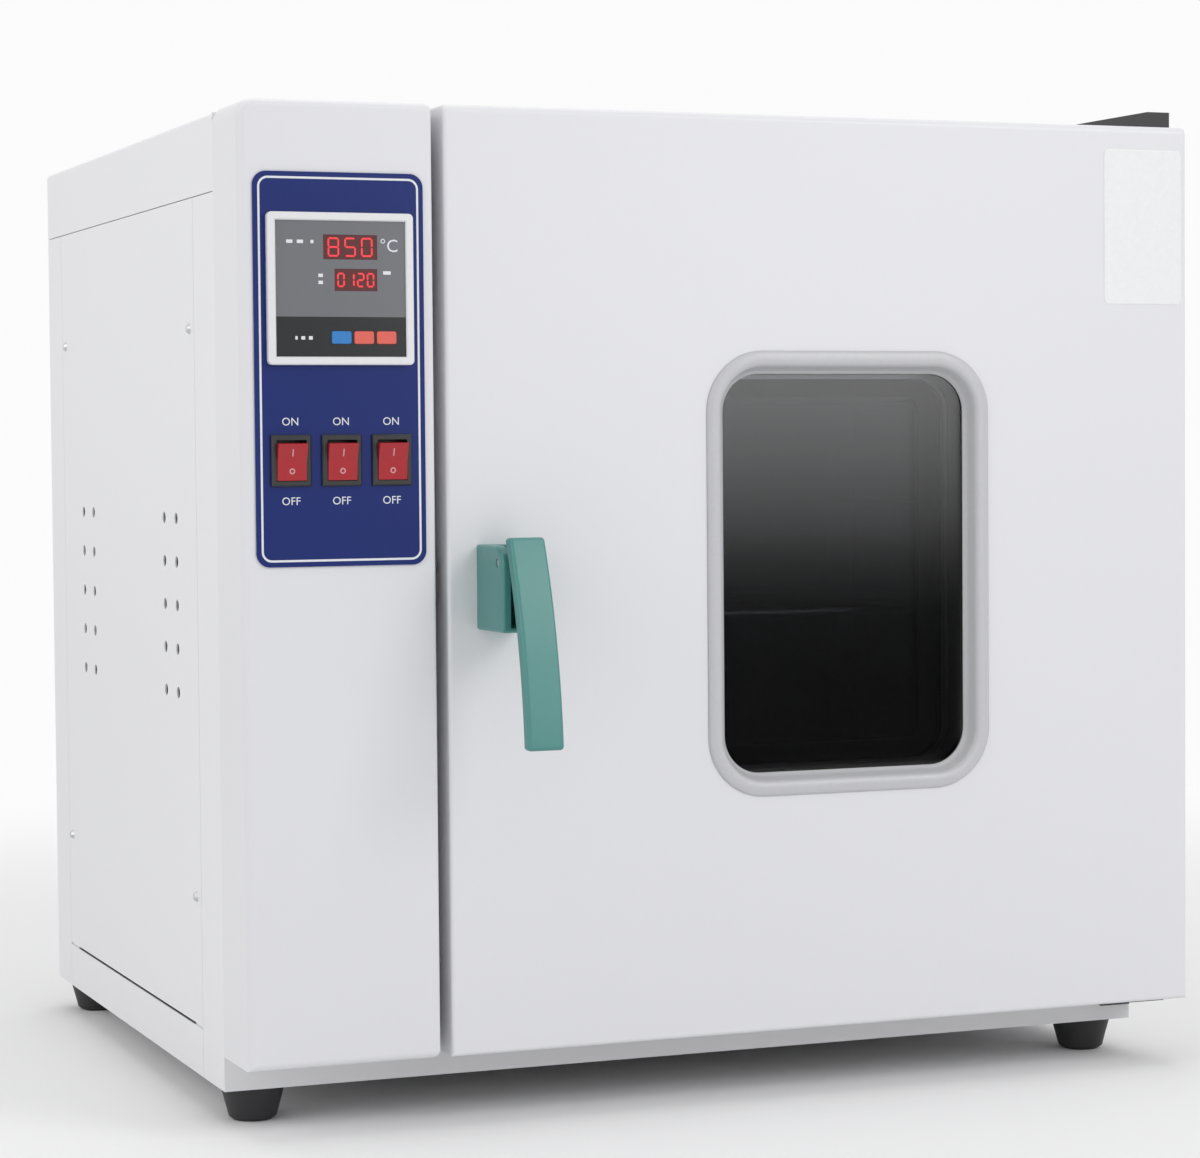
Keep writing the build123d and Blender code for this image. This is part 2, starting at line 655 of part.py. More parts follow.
# Cable gland for the mains lead: a hexagonal nut and a domed cap round an empty bore
with BuildPart() as cable_gland:
    with BuildSketch(facing_front(BODY_REAR)):
        with Locations((LEFT + GLAND_X, BODY_Z + GLAND_Z)):
            RegularPolygon(GLAND_NUT_R, 6)
    extrude(amount=-GLAND_NUT_T)
    with BuildSketch(facing_front(BODY_REAR + GLAND_NUT_T)):
        with Locations((LEFT + GLAND_X, BODY_Z + GLAND_Z)):
            Circle(GLAND_R + 1)
    extrude(amount=-(GLAND_REACH - GLAND_NUT_T))
    chamfer(cable_gland.faces().sort_by(Axis.Y)[-1].edges(), GLAND_R / 3)
    with BuildSketch(facing_front(BODY_REAR - GLAND_NUT_T - SHEET)):
        with Locations((LEFT + GLAND_X, BODY_Z + GLAND_Z)):
            Circle(GLAND_R - PANEL_FIT)
    extrude(amount=-(GLAND_NUT_T + SHEET))
    with BuildSketch(facing_front(BODY_REAR - GLAND_NUT_T - SHEET)):
        with Locations((LEFT + GLAND_X, BODY_Z + GLAND_Z)):
            RegularPolygon(GLAND_NUT_R, 6)
    extrude(amount=-GLAND_NUT_T)
    with BuildSketch(facing_front(BODY_REAR - 2 * GLAND_NUT_T)):
        with Locations((LEFT + GLAND_X, BODY_Z + GLAND_Z)):
            Circle(GLAND_BORE_R)
    extrude(amount=-(GLAND_REACH + 3 * GLAND_NUT_T), mode=Mode.SUBTRACT)
cable_gland.part.label = "cable_gland"
export_step(cable_gland.part, "parts/cable_gland.step")

# Chamber liner: an open box of bright sheet with rounded long edges
with BuildPart() as chamber_liner:
    with BuildSketch(facing_front(LINER_FRONT)):
        with Locations(MOUTH_MID):
            RectangleRounded(MOUTH_W + 2 * LINER, MOUTH_H + 2 * LINER, MOUTH_R + LINER)
    extrude(amount=-(CHAMBER_REAR + LINER - LINER_FRONT))
    with BuildSketch(facing_front(LINER_FRONT)):
        with Locations(MOUTH_MID):
            RectangleRounded(MOUTH_W, MOUTH_H, MOUTH_R)
    extrude(amount=-(CHAMBER_REAR - LINER_FRONT), mode=Mode.SUBTRACT)
    cut_services()
chamber_liner.part.label = "chamber_liner"
export_step(chamber_liner.part, "parts/chamber_liner.step")

# Insulation: a block of mineral wool on five sides of the liner
with BuildPart() as insulation:
    block_between(
        (MOUTH_X0 - LINER - WOOL, LINER_FRONT, MOUTH_Z0 - LINER - WOOL),
        (MOUTH_X1 + LINER + WOOL, CHAMBER_REAR + LINER + WOOL, MOUTH_Z1 + LINER + WOOL),
    )
    with BuildSketch(facing_front(LINER_FRONT)):
        with Locations(MOUTH_MID):
            RectangleRounded(MOUTH_W + 2 * LINER, MOUTH_H + 2 * LINER, MOUTH_R + LINER)
    extrude(amount=-(CHAMBER_REAR + LINER - LINER_FRONT), mode=Mode.SUBTRACT)
    cut_services()
insulation.part.label = "insulation"
export_step(insulation.part, "parts/insulation.step")

# Compartment wall: carries the motor, the heater tails and the relay beside the wool
with BuildPart() as compartment_wall:
    block_between(
        (WALL_X, LINER_FRONT, BODY_Z + SHEET),
        (WALL_X + SHEET, BODY_REAR - SHEET, BODY_TOP - SHEET),
    )
    cut_services()
compartment_wall.part.label = "compartment_wall"
export_step(compartment_wall.part, "parts/compartment_wall.step")

# Duct baffle: the folded sheet in front of the impeller, with its inlet grille and outlets
with BuildPart() as duct_baffle:
    with BuildSketch(Plane.YZ.offset(DUCT_X)):
        rectangle_between((BAFFLE_FRONT, FLOOR_Z + SHEET), (CHAMBER_REAR, MOUTH_Z1))
        with Locations(BLOWER):
            bar(GRILLE_HOLE_R, mode=Mode.SUBTRACT)
            for ring in range(1, GRILLE_RINGS + 1):
                with PolarLocations(ring * GRILLE_PITCH, 6 * ring):
                    bar(GRILLE_HOLE_R, mode=Mode.SUBTRACT)
        with Locations((BLOWER[0], MOUTH_Z1 - OUTLET_DROP)):
            with GridLocations(OUTLET_PITCH, 0, OUTLETS, 1):
                Rectangle(OUTLET_W, OUTLET_L, mode=Mode.SUBTRACT)
        with Locations(PROBE):
            bar(PROBE_R + SEAT, mode=Mode.SUBTRACT)
    extrude(amount=SHEET)
    block_between(
        (MOUTH_X0, BAFFLE_FRONT, FLOOR_Z + SHEET),
        (DUCT_X, BAFFLE_FRONT + SHEET, MOUTH_Z1 - MOUTH_R),
    )
duct_baffle.part.label = "duct_baffle"
export_step(duct_baffle.part, "parts/duct_baffle.step")

# Chamber floor: a slotted sheet over the heaters, on two folded legs
with BuildPart() as chamber_floor:
    with BuildSketch(Plane.XY.offset(FLOOR_Z)):
        rectangle_between((DUCT_X, FLOOR_FRONT), (MOUTH_X1, CHAMBER_REAR))
        with Locations(((DUCT_X + MOUTH_X1) / 2, (FLOOR_FRONT + CHAMBER_REAR) / 2)):
            with GridLocations(SLOT_PITCH_X, SLOT_PITCH_Y, SLOT_COLUMNS, SLOT_ROWS):
                Rectangle(SLOT_L, SLOT_W, mode=Mode.SUBTRACT)
    extrude(amount=SHEET)
    for y in (FLOOR_FRONT, CHAMBER_REAR - SHEET):
        block_between(
            (DUCT_X, y, MOUTH_Z0), (MOUTH_X1 - MOUTH_R, y + SHEET, FLOOR_Z)
        )
chamber_floor.part.label = "chamber_floor"
export_step(chamber_floor.part, "parts/chamber_floor.step")

# Heaters: sheathed U-shaped elements under the floor, their tails through the left wall
with BuildPart() as heater_elements:
    tail_x = WALL_X - HEATER_TAIL
    turn_x = MOUTH_X1 - HEATER_END
    for y in (HEATER_MID_Y + (n - (HEATERS - 1) / 2) * HEATER_PITCH for n in range(HEATERS)):
        with BuildLine(Plane.XY.offset(HEATER_Z)):
            Line((tail_x, y - LEG_R), (turn_x, y - LEG_R))
            ThreePointArc((turn_x, y - LEG_R), (turn_x + LEG_R, y), (turn_x, y + LEG_R))
            Line((turn_x, y + LEG_R), (tail_x, y + LEG_R))
        with BuildSketch(Plane((tail_x, y - LEG_R, HEATER_Z), x_dir=(0, 1, 0), z_dir=(1, 0, 0))):
            bar(HEATER_R)
        sweep()
        with BuildSketch(Plane.YZ.offset(WALL_X - HEATER_COLLAR_T)):
            with Locations((y - LEG_R, HEATER_Z), (y + LEG_R, HEATER_Z)):
                bar(HEATER_COLLAR_R, HOLE_SIDES)
        extrude(amount=HEATER_COLLAR_T)
heater_elements.part.label = "heater_elements"
export_step(heater_elements.part, "parts/heater_elements.step")

# Temperature probe: a closed tube with a hexagonal gland nut against the compartment wall
with BuildPart() as temperature_probe:
    with BuildSketch(Plane.YZ.offset(WALL_X - HEATER_TAIL)):
        with Locations(PROBE):
            bar(PROBE_R)
    extrude(amount=DUCT_X + PROBE_REACH - WALL_X + HEATER_TAIL)
    chamfer(temperature_probe.faces().sort_by(Axis.X)[-1].edges(), PROBE_R / 3)
    with BuildSketch(Plane.YZ.offset(WALL_X - PROBE_NUT_T)):
        with Locations(PROBE):
            RegularPolygon(PROBE_NUT_R, 6)
    extrude(amount=PROBE_NUT_T)
temperature_probe.part.label = "temperature_probe"
export_step(temperature_probe.part, "parts/temperature_probe.step")

# Blower motor: a turned body with a fixing flange, cooling ribs and a bored nose
with BuildPart() as fan_motor:
    with BuildSketch(Plane(origin=(WALL_X, *BLOWER), x_dir=(-1, 0, 0), z_dir=(0, -1, 0))):
        with BuildLine():
            Polyline(
                (0, SHAFT_R + SHAFT_CLEARANCE),
                (0, MOTOR_FLANGE_R),
                (MOTOR_FLANGE_T, MOTOR_FLANGE_R),
                (MOTOR_FLANGE_T, MOTOR_R),
                (MOTOR_LENGTH - MOTOR_BELL_L, MOTOR_R),
                (MOTOR_LENGTH, MOTOR_BELL_R),
                (MOTOR_LENGTH, 0),
                (SHAFT_GRIP, 0),
                (SHAFT_GRIP, SHAFT_R + SHAFT_CLEARANCE),
                close=True,
            )
        make_face()
    revolve(axis=Axis((WALL_X, *BLOWER), (1, 0, 0)))
    with BuildSketch(Plane.YZ.offset(WALL_X - MOTOR_LENGTH + MOTOR_BELL_L)):
        with Locations(BLOWER):
            with PolarLocations(MOTOR_R, MOTOR_RIBS):
                Rectangle(2 * MOTOR_RIB_H, MOTOR_RIB_T)
    extrude(amount=MOTOR_LENGTH - MOTOR_BELL_L - MOTOR_FLANGE_T)
fan_motor.part.label = "fan_motor"
export_step(fan_motor.part, "parts/fan_motor.step")

# Motor shaft, from the motor's bore to the nose of the impeller's hub
with BuildPart() as fan_shaft:
    with BuildSketch(Plane.YZ.offset(WALL_X - SHAFT_GRIP + SEAT)):
        with Locations(BLOWER):
            Circle(SHAFT_R)
    extrude(amount=IMPELLER_X + IMPELLER_T - WALL_X + SHAFT_GRIP - SEAT)
fan_shaft.part.label = "fan_shaft"
export_step(fan_shaft.part, "parts/fan_shaft.step")

# One blade of the impeller, drawn from its inner end and swept backwards
with BuildSketch() as blade_outline:
    span = IMPELLER_R - BLADE_START_R - BLADE_T
    with BuildLine():
        RadiusArc((0, 0), (span, BLADE_SWEEP), -BLADE_R)
        Line((span, BLADE_SWEEP), (span, BLADE_SWEEP + BLADE_T))
        RadiusArc((span, BLADE_SWEEP + BLADE_T), (0, BLADE_T), BLADE_R)
        Line((0, BLADE_T), (0, 0))
    make_face()

# Impeller: a back plate, backward-curved blades, a front ring and a hub pressed on the shaft
with BuildPart() as fan_impeller:
    with BuildSketch(Plane.YZ.offset(IMPELLER_X)):
        with Locations(BLOWER):
            Circle(IMPELLER_R)
            Circle(SHAFT_R, mode=Mode.SUBTRACT)
    extrude(amount=IMPELLER_SHEET)
    with BuildSketch(Plane.YZ.offset(IMPELLER_X + IMPELLER_SHEET)):
        with Locations(BLOWER):
            with PolarLocations(BLADE_START_R, BLADES):
                add(blade_outline.sketch)
    extrude(amount=IMPELLER_T - 2 * IMPELLER_SHEET)
    with BuildSketch(Plane.YZ.offset(IMPELLER_X + IMPELLER_T - IMPELLER_SHEET)):
        with Locations(BLOWER):
            Circle(IMPELLER_R)
            Circle(IMPELLER_EYE_R, mode=Mode.SUBTRACT)
    extrude(amount=IMPELLER_SHEET)
    with BuildSketch(Plane.YZ.offset(IMPELLER_X)):
        with Locations(BLOWER):
            Circle(IMPELLER_HUB_R)
            Circle(SHAFT_R, mode=Mode.SUBTRACT)
    extrude(amount=IMPELLER_T)
fan_impeller.part.label = "fan_impeller"
export_step(fan_impeller.part, "parts/fan_impeller.step")

# Exhaust: a tube from the chamber's roof, flanged on the top cover, with a holed crown
with BuildPart() as exhaust_tube:
    crown_z = BODY_TOP + EXHAUST_RISE
    with BuildSketch(Plane.XY.offset(MOUTH_Z1)):
        with Locations(EXHAUST):
            Circle(EXHAUST_R)
            Circle(EXHAUST_R - EXHAUST_WALL, mode=Mode.SUBTRACT)
    extrude(amount=crown_z - MOUTH_Z1)
    with BuildSketch(Plane.XY.offset(BODY_TOP)):
        with Locations(EXHAUST):
            Circle(EXHAUST_FLANGE_R)
            Circle(EXHAUST_R - EXHAUST_WALL, mode=Mode.SUBTRACT)
    extrude(amount=EXHAUST_FLANGE_T)
    with BuildSketch(Plane.XY.offset(crown_z - EXHAUST_WALL)):
        with Locations(EXHAUST):
            Circle(EXHAUST_R)
            with PolarLocations(EXHAUST_HOLE_PCD_R, EXHAUST_HOLES):
                bar(EXHAUST_HOLE_R, HOLE_SIDES, Mode.SUBTRACT)
    extrude(amount=EXHAUST_WALL)
    with BuildSketch(Plane.XY.offset(crown_z)):
        with Locations(EXHAUST):
            Circle(STUD_R)
    extrude(amount=SEAT + CAP_T + KNOB_H / 2)
exhaust_tube.part.label = "exhaust_tube"
export_step(exhaust_tube.part, "parts/exhaust_tube.step")

# Exhaust cap: turns on the crown's stud to open or cover its holes
with BuildPart() as exhaust_cap:
    cap_z = BODY_TOP + EXHAUST_RISE + SEAT
    with BuildSketch(Plane.XY.offset(cap_z)):
        with Locations(EXHAUST):
            Circle(CAP_R)
            with PolarLocations(EXHAUST_HOLE_PCD_R, EXHAUST_HOLES):
                bar(EXHAUST_HOLE_R, HOLE_SIDES, Mode.SUBTRACT)
    extrude(amount=CAP_T)
    with BuildSketch(Plane.XY.offset(cap_z - CAP_SKIRT)):
        with Locations(EXHAUST):
            Circle(CAP_R)
            Circle(EXHAUST_R + SEAT, mode=Mode.SUBTRACT)
    extrude(amount=CAP_SKIRT)
    with BuildSketch(Plane.XY.offset(cap_z + CAP_T)):
        with Locations(EXHAUST):
            Circle(KNOB_R)
    extrude(amount=KNOB_H)
    chamfer(exhaust_cap.faces().sort_by(Axis.Z)[-1].edges(), KNOB_R / 5)
    with BuildSketch(Plane.XY.offset(cap_z)):
        with Locations(EXHAUST):
            Circle(STUD_R + SHAFT_CLEARANCE)
    extrude(amount=CAP_T + KNOB_H / 2 + SEAT, mode=Mode.SUBTRACT)
exhaust_cap.part.label = "exhaust_cap"
export_step(exhaust_cap.part, "parts/exhaust_cap.step")

def ladder(x, inward):
    """Two upright rods with rungs set inward of them, standing on the chamber floor."""
    front = BODY_FRONT + LADDER_FRONT
    with BuildSketch(Plane.XY.offset(FLOOR_Z + SHEET)) as uprights:
        with Locations((x, front), (x, CHAMBER_REAR - LADDER_BACK)):
            bar(ROD_R)
    height = LADDER_FIRST + (LADDER_LEVELS - 1) * LADDER_PITCH + 2 * ROD_R
    extrude(uprights.sketch, amount=height)
    with BuildSketch(facing_front(front - RUNG_OVERHANG)) as rungs:
        levels = range(LADDER_LEVELS)
        with Locations(*((x + inward * RUNG_INSET, rung_height(n)) for n in levels)):
            bar(ROD_R)
    extrude(rungs.sketch, amount=front - CHAMBER_REAR + LADDER_BACK - 2 * RUNG_OVERHANG)


def rung_height(level):
    """Height of a rung's centre above the oven's own floor."""
    return FLOOR_Z + SHEET + LADDER_FIRST + level * LADDER_PITCH


# Ladders: bent-rod racks against the baffle and against the right wall of the chamber
with BuildPart() as shelf_ladders:
    ladder(LADDER_X0, 1)
    ladder(LADDER_X1, -1)
shelf_ladders.part.label = "shelf_ladders"
export_step(shelf_ladders.part, "parts/shelf_ladders.step")


def shelf_on(level):
    """A wire shelf: a rounded frame of rod, wires from front to back and two stays below."""
    z = rung_height(level) + 2 * ROD_R + SEAT
    x0 = LADDER_X0 + RUNG_INSET + SHELF_FIT
    x1 = LADDER_X1 - RUNG_INSET - SHELF_FIT
    y0 = BODY_FRONT + SHELF_FRONT
    y1 = CHAMBER_REAR - SHELF_BACK
    middle = (x0 + x1) / 2
    with BuildLine(Plane.XY.offset(z)) as half_frame:
        corners = ((middle, y0), (x1, y0), (x1, y1), (middle, y1))
        FilletPolyline(*corners, radius=SHELF_CORNER_R)
    with BuildSketch(Plane((middle, y0, z), x_dir=(0, 1, 0), z_dir=(1, 0, 0))) as rod:
        bar(ROD_R)
    sweep(rod.sketch, path=half_frame.line)
    mirror(about=Plane.YZ.offset(middle))
    with BuildSketch(facing_front(y0)) as wires:
        with Locations((middle, z)):
            with GridLocations((x1 - x0) / (SHELF_WIRES + 1), 0, SHELF_WIRES, 1):
                bar(WIRE_R)
    extrude(wires.sketch, amount=y0 - y1)
    with BuildSketch(Plane.YZ.offset(x0 + STAY_DROP)) as stays:
        with Locations(((y0 + y1) / 2, z - STAY_DROP)):
            with GridLocations((y1 - y0) / (SHELF_STAYS + 1), 0, SHELF_STAYS, 1):
                bar(WIRE_R)
    extrude(stays.sketch, amount=x1 - x0 - 2 * STAY_DROP)


with BuildPart() as shelf_lower:
    shelf_on(LOWER_LEVEL)
shelf_lower.part.label = "shelf_lower"
export_step(shelf_lower.part, "parts/shelf_lower.step")

with BuildPart() as shelf_upper:
    shelf_on(UPPER_LEVEL)
shelf_upper.part.label = "shelf_upper"
export_step(shelf_upper.part, "parts/shelf_upper.step")

# Solid-state relay on the compartment wall, with a finned heat sink against the sheet
with BuildPart() as relay:
    block_between(
        (WALL_X - SINK_T, BLOWER[0] + RELAY_OFFSET, BODY_Z + RELAY_LIFT),
        (WALL_X, BLOWER[0] + RELAY_OFFSET + SINK_W, BODY_Z + RELAY_LIFT + SINK_H),
    )
    sink_mid = BLOWER[0] + RELAY_OFFSET + SINK_W / 2
    with BuildSketch(Plane.XY.offset(BODY_Z + RELAY_LIFT)):
        with Locations((WALL_X, sink_mid)):
            with GridLocations(0, SINK_PITCH, 1, SINK_SLOTS):
                Rectangle(SINK_T, SINK_PITCH / 2)
    extrude(amount=SINK_H, mode=Mode.SUBTRACT)
    block_between(
        (WALL_X - SINK_T - RELAY_T, sink_mid - RELAY_W / 2, BODY_Z + RELAY_LIFT + SINK_PITCH),
        (WALL_X - SINK_T, sink_mid + RELAY_W / 2, BODY_Z + RELAY_LIFT + SINK_H - SINK_PITCH),
    )
    fillet(relay.faces().sort_by(Axis.X)[0].edges(), SHEET)
relay.part.label = "relay"
export_step(relay.part, "parts/relay.step")

# Column: a pressed shell, open at the back, that holds the control panel
with BuildPart() as column_shell:
    with BuildSketch(facing_front(FACE)) as column_outline:
        rectangle_between((LEFT, SHELL_Z), (COLUMN_RIGHT, SHELL_TOP))
        fillet(column_outline.vertices().group_by(Axis.X)[0].sort_by(Axis.Y)[-1], CORNER_R)
    extrude(amount=-SHELL_D)
    rim = column_shell.faces().sort_by(Axis.Y)[0].edges()
    fillet(rim.sort_by(Axis.X)[-1], GAP_EDGE_R)
    rim = column_shell.faces().sort_by(Axis.Y)[0].edges()
    fillet(rim.sort_by(Axis.X)[:-1], FRONT_EDGE_R)
    offset(amount=-SHELL_SHEET, openings=column_shell.faces().sort_by(Axis.Y)[-1])
    with BuildSketch(facing_front(FACE)):
        panel_holes()
    extrude(amount=-SHELL_SHEET * 2, mode=Mode.SUBTRACT)
column_shell.part.label = "column_shell"
export_step(column_shell.part, "parts/column_shell.step")

# Control plate: the blue plate on the column, with holes for the controller and switches
with BuildPart() as control_plate:
    with BuildSketch(facing_front(FACE)):
        with Locations((PANEL_MID, PLATE_MID_Z)):
            RectangleRounded(PLATE_W, PLATE_H, PLATE_R)
        panel_holes(Mode.SUBTRACT)
    extrude(amount=PLATE_T)
control_plate.part.label = "control_plate"
export_step(control_plate.part, "parts/control_plate.step")

# Controller: its white frame, its case, the screen plate, two displays and three keys
with BuildPart() as controller_bezel:
    with BuildSketch(facing_front(PLATE_FACE)):
        with Locations(CONTROLLER):
            RectangleRounded(CONTROLLER_W, CONTROLLER_W, 2 * CONTROLLER_EDGE_R)
            Rectangle(SCREEN_W, SCREEN_W, mode=Mode.SUBTRACT)
    extrude(amount=CONTROLLER_LIP)
    rim = controller_bezel.faces().sort_by(Axis.Y)[0].edges()
    chamfer(rim.filter_by(GeomType.LINE), CONTROLLER_EDGE_R / 2)
controller_bezel.part.label = "controller_bezel"
export_step(controller_bezel.part, "parts/controller_bezel.step")

with BuildPart() as controller_case:
    with BuildSketch(facing_front(PLATE_FACE)):
        with Locations(CONTROLLER):
            Rectangle(CONTROLLER_BODY_W, CONTROLLER_BODY_W)
    extrude(amount=-CONTROLLER_BODY_D)
    with BuildSketch(facing_front(PLATE_FACE)):
        with Locations(CONTROLLER):
            Rectangle(SCREEN_W, SCREEN_W)
    extrude(amount=CONTROLLER_LIP - SCREEN_SETBACK - SCREEN_T)
    with BuildSketch(facing_front(SCREEN_BACK)):
        with Locations(*KEY_MIDS):
            Rectangle(KEY_W + 2 * PANEL_FIT, KEY_H + 2 * PANEL_FIT)
    extrude(amount=-(KEY_T - KEY_PROUD - SCREEN_T + KEY_TRAVEL + PANEL_FIT), mode=Mode.SUBTRACT)
controller_case.part.label = "controller_case"
export_step(controller_case.part, "parts/controller_case.step")

with BuildPart() as controller_screen:
    with BuildSketch(facing_front(SCREEN_BACK)):
        with Locations(CONTROLLER):
            Rectangle(SCREEN_W, SCREEN_W)
        with Locations(*KEY_MIDS):
            Rectangle(KEY_W + PANEL_FIT, KEY_H + PANEL_FIT, mode=Mode.SUBTRACT)
        for middle, size in zip(DISPLAY_MIDS, DISPLAY_SIZES):
            with Locations(middle):
                Rectangle(*size, mode=Mode.SUBTRACT)
    extrude(amount=SCREEN_T)
controller_screen.part.label = "controller_screen"
export_step(controller_screen.part, "parts/controller_screen.step")

with BuildPart() as displays:
    with BuildSketch(facing_front(SCREEN_BACK)):
        for middle, size in zip(DISPLAY_MIDS, DISPLAY_SIZES):
            with Locations(middle):
                Rectangle(*size)
    extrude(amount=SCREEN_T - DISPLAY_SETBACK)
displays.part.label = "displays"
export_step(displays.part, "parts/displays.step")

for number, middle in enumerate(KEY_MIDS, start=1):
    with BuildPart() as key:
        with BuildSketch(facing_front(SCREEN_BACK - SCREEN_T - KEY_PROUD)):
            with Locations(middle):
                RectangleRounded(KEY_W, KEY_H, KEY_R)
        extrude(amount=-KEY_T)
        chamfer(key.faces().sort_by(Axis.Y)[0].edges(), KEY_EDGE)
    key.part.label = f"key_{number}"
    export_step(key.part, f"parts/key_{number}.step")

# Rocker switches: black housings snapped into the plate, a rocker on two stub pins in each
with BuildPart() as switch_housings:
    with BuildSketch(facing_front(PLATE_FACE)):
        with Locations(*((x, SWITCH_MID_Z) for x in SWITCH_XS)):
            Rectangle(SWITCH_W, SWITCH_H)
    extrude(amount=SWITCH_LIP)
    chamfer(switch_housings.faces().group_by(Axis.Y)[0].edges(), SWITCH_EDGE)
    with BuildSketch(facing_front(PLATE_FACE)):
        with Locations(*((x, SWITCH_MID_Z) for x in SWITCH_XS)):
            Rectangle(SWITCH_BODY_W, SWITCH_BODY_H)
    extrude(amount=-SWITCH_BODY_D)
    with BuildSketch(facing_front(PLATE_FACE - SWITCH_LIP)):
        with Locations(*((x, SWITCH_MID_Z) for x in SWITCH_XS)):
            Rectangle(SWITCH_POCKET_W, SWITCH_POCKET_H)
    extrude(amount=-SWITCH_POCKET_D, mode=Mode.SUBTRACT)
switch_housings.part.label = "switch_housings"
export_step(switch_housings.part, "parts/switch_housings.step")

for number, x in enumerate(SWITCH_XS, start=1):
    pivot = Plane(
        origin=(x, ROCKER_PIVOT_Y, SWITCH_MID_Z),
        x_dir=(0, cos(radians(ROCKER_TILT)), sin(radians(ROCKER_TILT))),
        z_dir=(1, 0, 0),
    )
    with BuildPart() as rocker:
        with BuildSketch(pivot.offset(-ROCKER_W / 2)):
            with BuildLine():
                Polyline(
                    (-ROCKER_END, ROCKER_HALF_H),
                    (-ROCKER_VALLEY, 0),
                    (-ROCKER_END, -ROCKER_HALF_H),
                    (-ROCKER_END / 2, -ROCKER_HALF_H),
                    (ROCKER_BACK, -ROCKER_BACK / 2),
                    (ROCKER_BACK, ROCKER_BACK / 2),
                    (-ROCKER_END / 2, ROCKER_HALF_H),
                    close=True,
                )
            make_face()
        extrude(amount=ROCKER_W)
        with BuildSketch(pivot.offset(-SWITCH_POCKET_W / 2 + SHAFT_CLEARANCE)):
            Circle(ROCKER_PIN_R)
        extrude(amount=SWITCH_POCKET_W - 2 * SHAFT_CLEARANCE)
    rocker.part.label = f"rocker_{number}"
    export_step(rocker.part, f"parts/rocker_{number}.step")

# Hollow of the door shell, as wide as the shell less its sheet on every side but the back
with BuildPart() as door_hollow:
    (x0, z0), (x1, z1) = DOOR_INSIDE
    block_between((x0, FACE + SHELL_SHEET, z0), (x1, DOOR_REAR, z1))
    rim = door_hollow.faces().sort_by(Axis.Y)[0].edges()
    fillet(rim.sort_by(Axis.Z)[-1], FRONT_EDGE_R - SHELL_SHEET)
    rim = door_hollow.faces().sort_by(Axis.Y)[0].edges()
    fillet(rim.sort_by(Axis.Z)[:-1], GAP_EDGE_R - SHELL_SHEET)

# Door shell: the pressed outer pan, cut for the window, the hinge pins and the latch
with BuildPart() as door_shell:
    block_between((DOOR_LEFT, FACE, SHELL_Z), (DOOR_RIGHT, DOOR_REAR, SHELL_TOP))
    rim = door_shell.faces().sort_by(Axis.Y)[0].edges()
    fillet(rim.sort_by(Axis.Z)[-1], FRONT_EDGE_R)
    rim = door_shell.faces().sort_by(Axis.Y)[0].edges()
    fillet(rim.sort_by(Axis.Z)[:-1], GAP_EDGE_R)
    add(door_hollow.part, mode=Mode.SUBTRACT)
    with BuildSketch(facing_front(FACE)):
        with Locations(WINDOW):
            rounded((WINDOW_W, WINDOW_H, WINDOW_R))
        with Locations((BOSS_MID, ROD_SLOT_Z)):
            SlotOverall(ROD_SLOT_H, ROD_SLOT_W, rotation=90)
    extrude(amount=-SHELL_SHEET * 2, mode=Mode.SUBTRACT)
    with Locations((*HINGE, SHELL_Z), (*HINGE, SHELL_TOP)):
        Cylinder(PIN_R + SEAT, 4 * SHELL_SHEET, mode=Mode.SUBTRACT)
    block_between(
        (DOOR_LEFT - SEAM, FACE + BOLT_Y - SEAT, BOLT_NOSE_MID - BOLT_NOSE_H / 2 - SEAT),
        (
            DOOR_LEFT + 2 * SHELL_SHEET,
            FACE + BOLT_Y + BOLT_T + SEAT,
            BOLT_NOSE_MID + BOLT_NOSE_H / 2 + SEAT,
        ),
        mode=Mode.SUBTRACT,
    )
door_shell.part.label = "door_shell"
export_step(door_shell.part, "parts/door_shell.step")

# Window bezel: a frame whose lip slopes in to the glass and whose back flange grips the sheet
with BuildPart() as window_bezel:
    with BuildSketch(facing_front(FACE)):
        with Locations(WINDOW):
            rounded((WINDOW_W, WINDOW_H, WINDOW_R), -BEZEL_FIT)
    extrude(amount=-(BEZEL_DEPTH + BEZEL_BACK))
    with BuildSketch(facing_front(FACE + SHELL_SHEET)):
        with Locations(WINDOW):
            rounded((WINDOW_W, WINDOW_H, WINDOW_R), BEZEL_FLANGE)
    extrude(amount=-BEZEL_BACK)
    with BuildSketch(facing_front(FACE)):
        with Locations(WINDOW):
            rounded(OPENING, BEZEL_LIP)
    extrude(amount=-BEZEL_DEPTH, taper=degrees(atan(BEZEL_LIP / BEZEL_DEPTH)), mode=Mode.SUBTRACT)
    with BuildSketch(facing_front(FACE + BEZEL_DEPTH)):
        with Locations(WINDOW):
            rounded(OPENING)
    extrude(amount=-2 * BEZEL_BACK, mode=Mode.SUBTRACT)
window_bezel.part.label = "window_bezel"
export_step(window_bezel.part, "parts/window_bezel.step")

# Outer pane, clamped between the bezel and the tunnel
with BuildPart() as outer_glass:
    with BuildSketch(facing_front(GLASS_Y)):
        with Locations(WINDOW):
            rounded(OPENING, GLASS_EDGE)
    extrude(amount=-GLASS_T)
outer_glass.part.label = "outer_glass"
export_step(outer_glass.part, "parts/outer_glass.step")

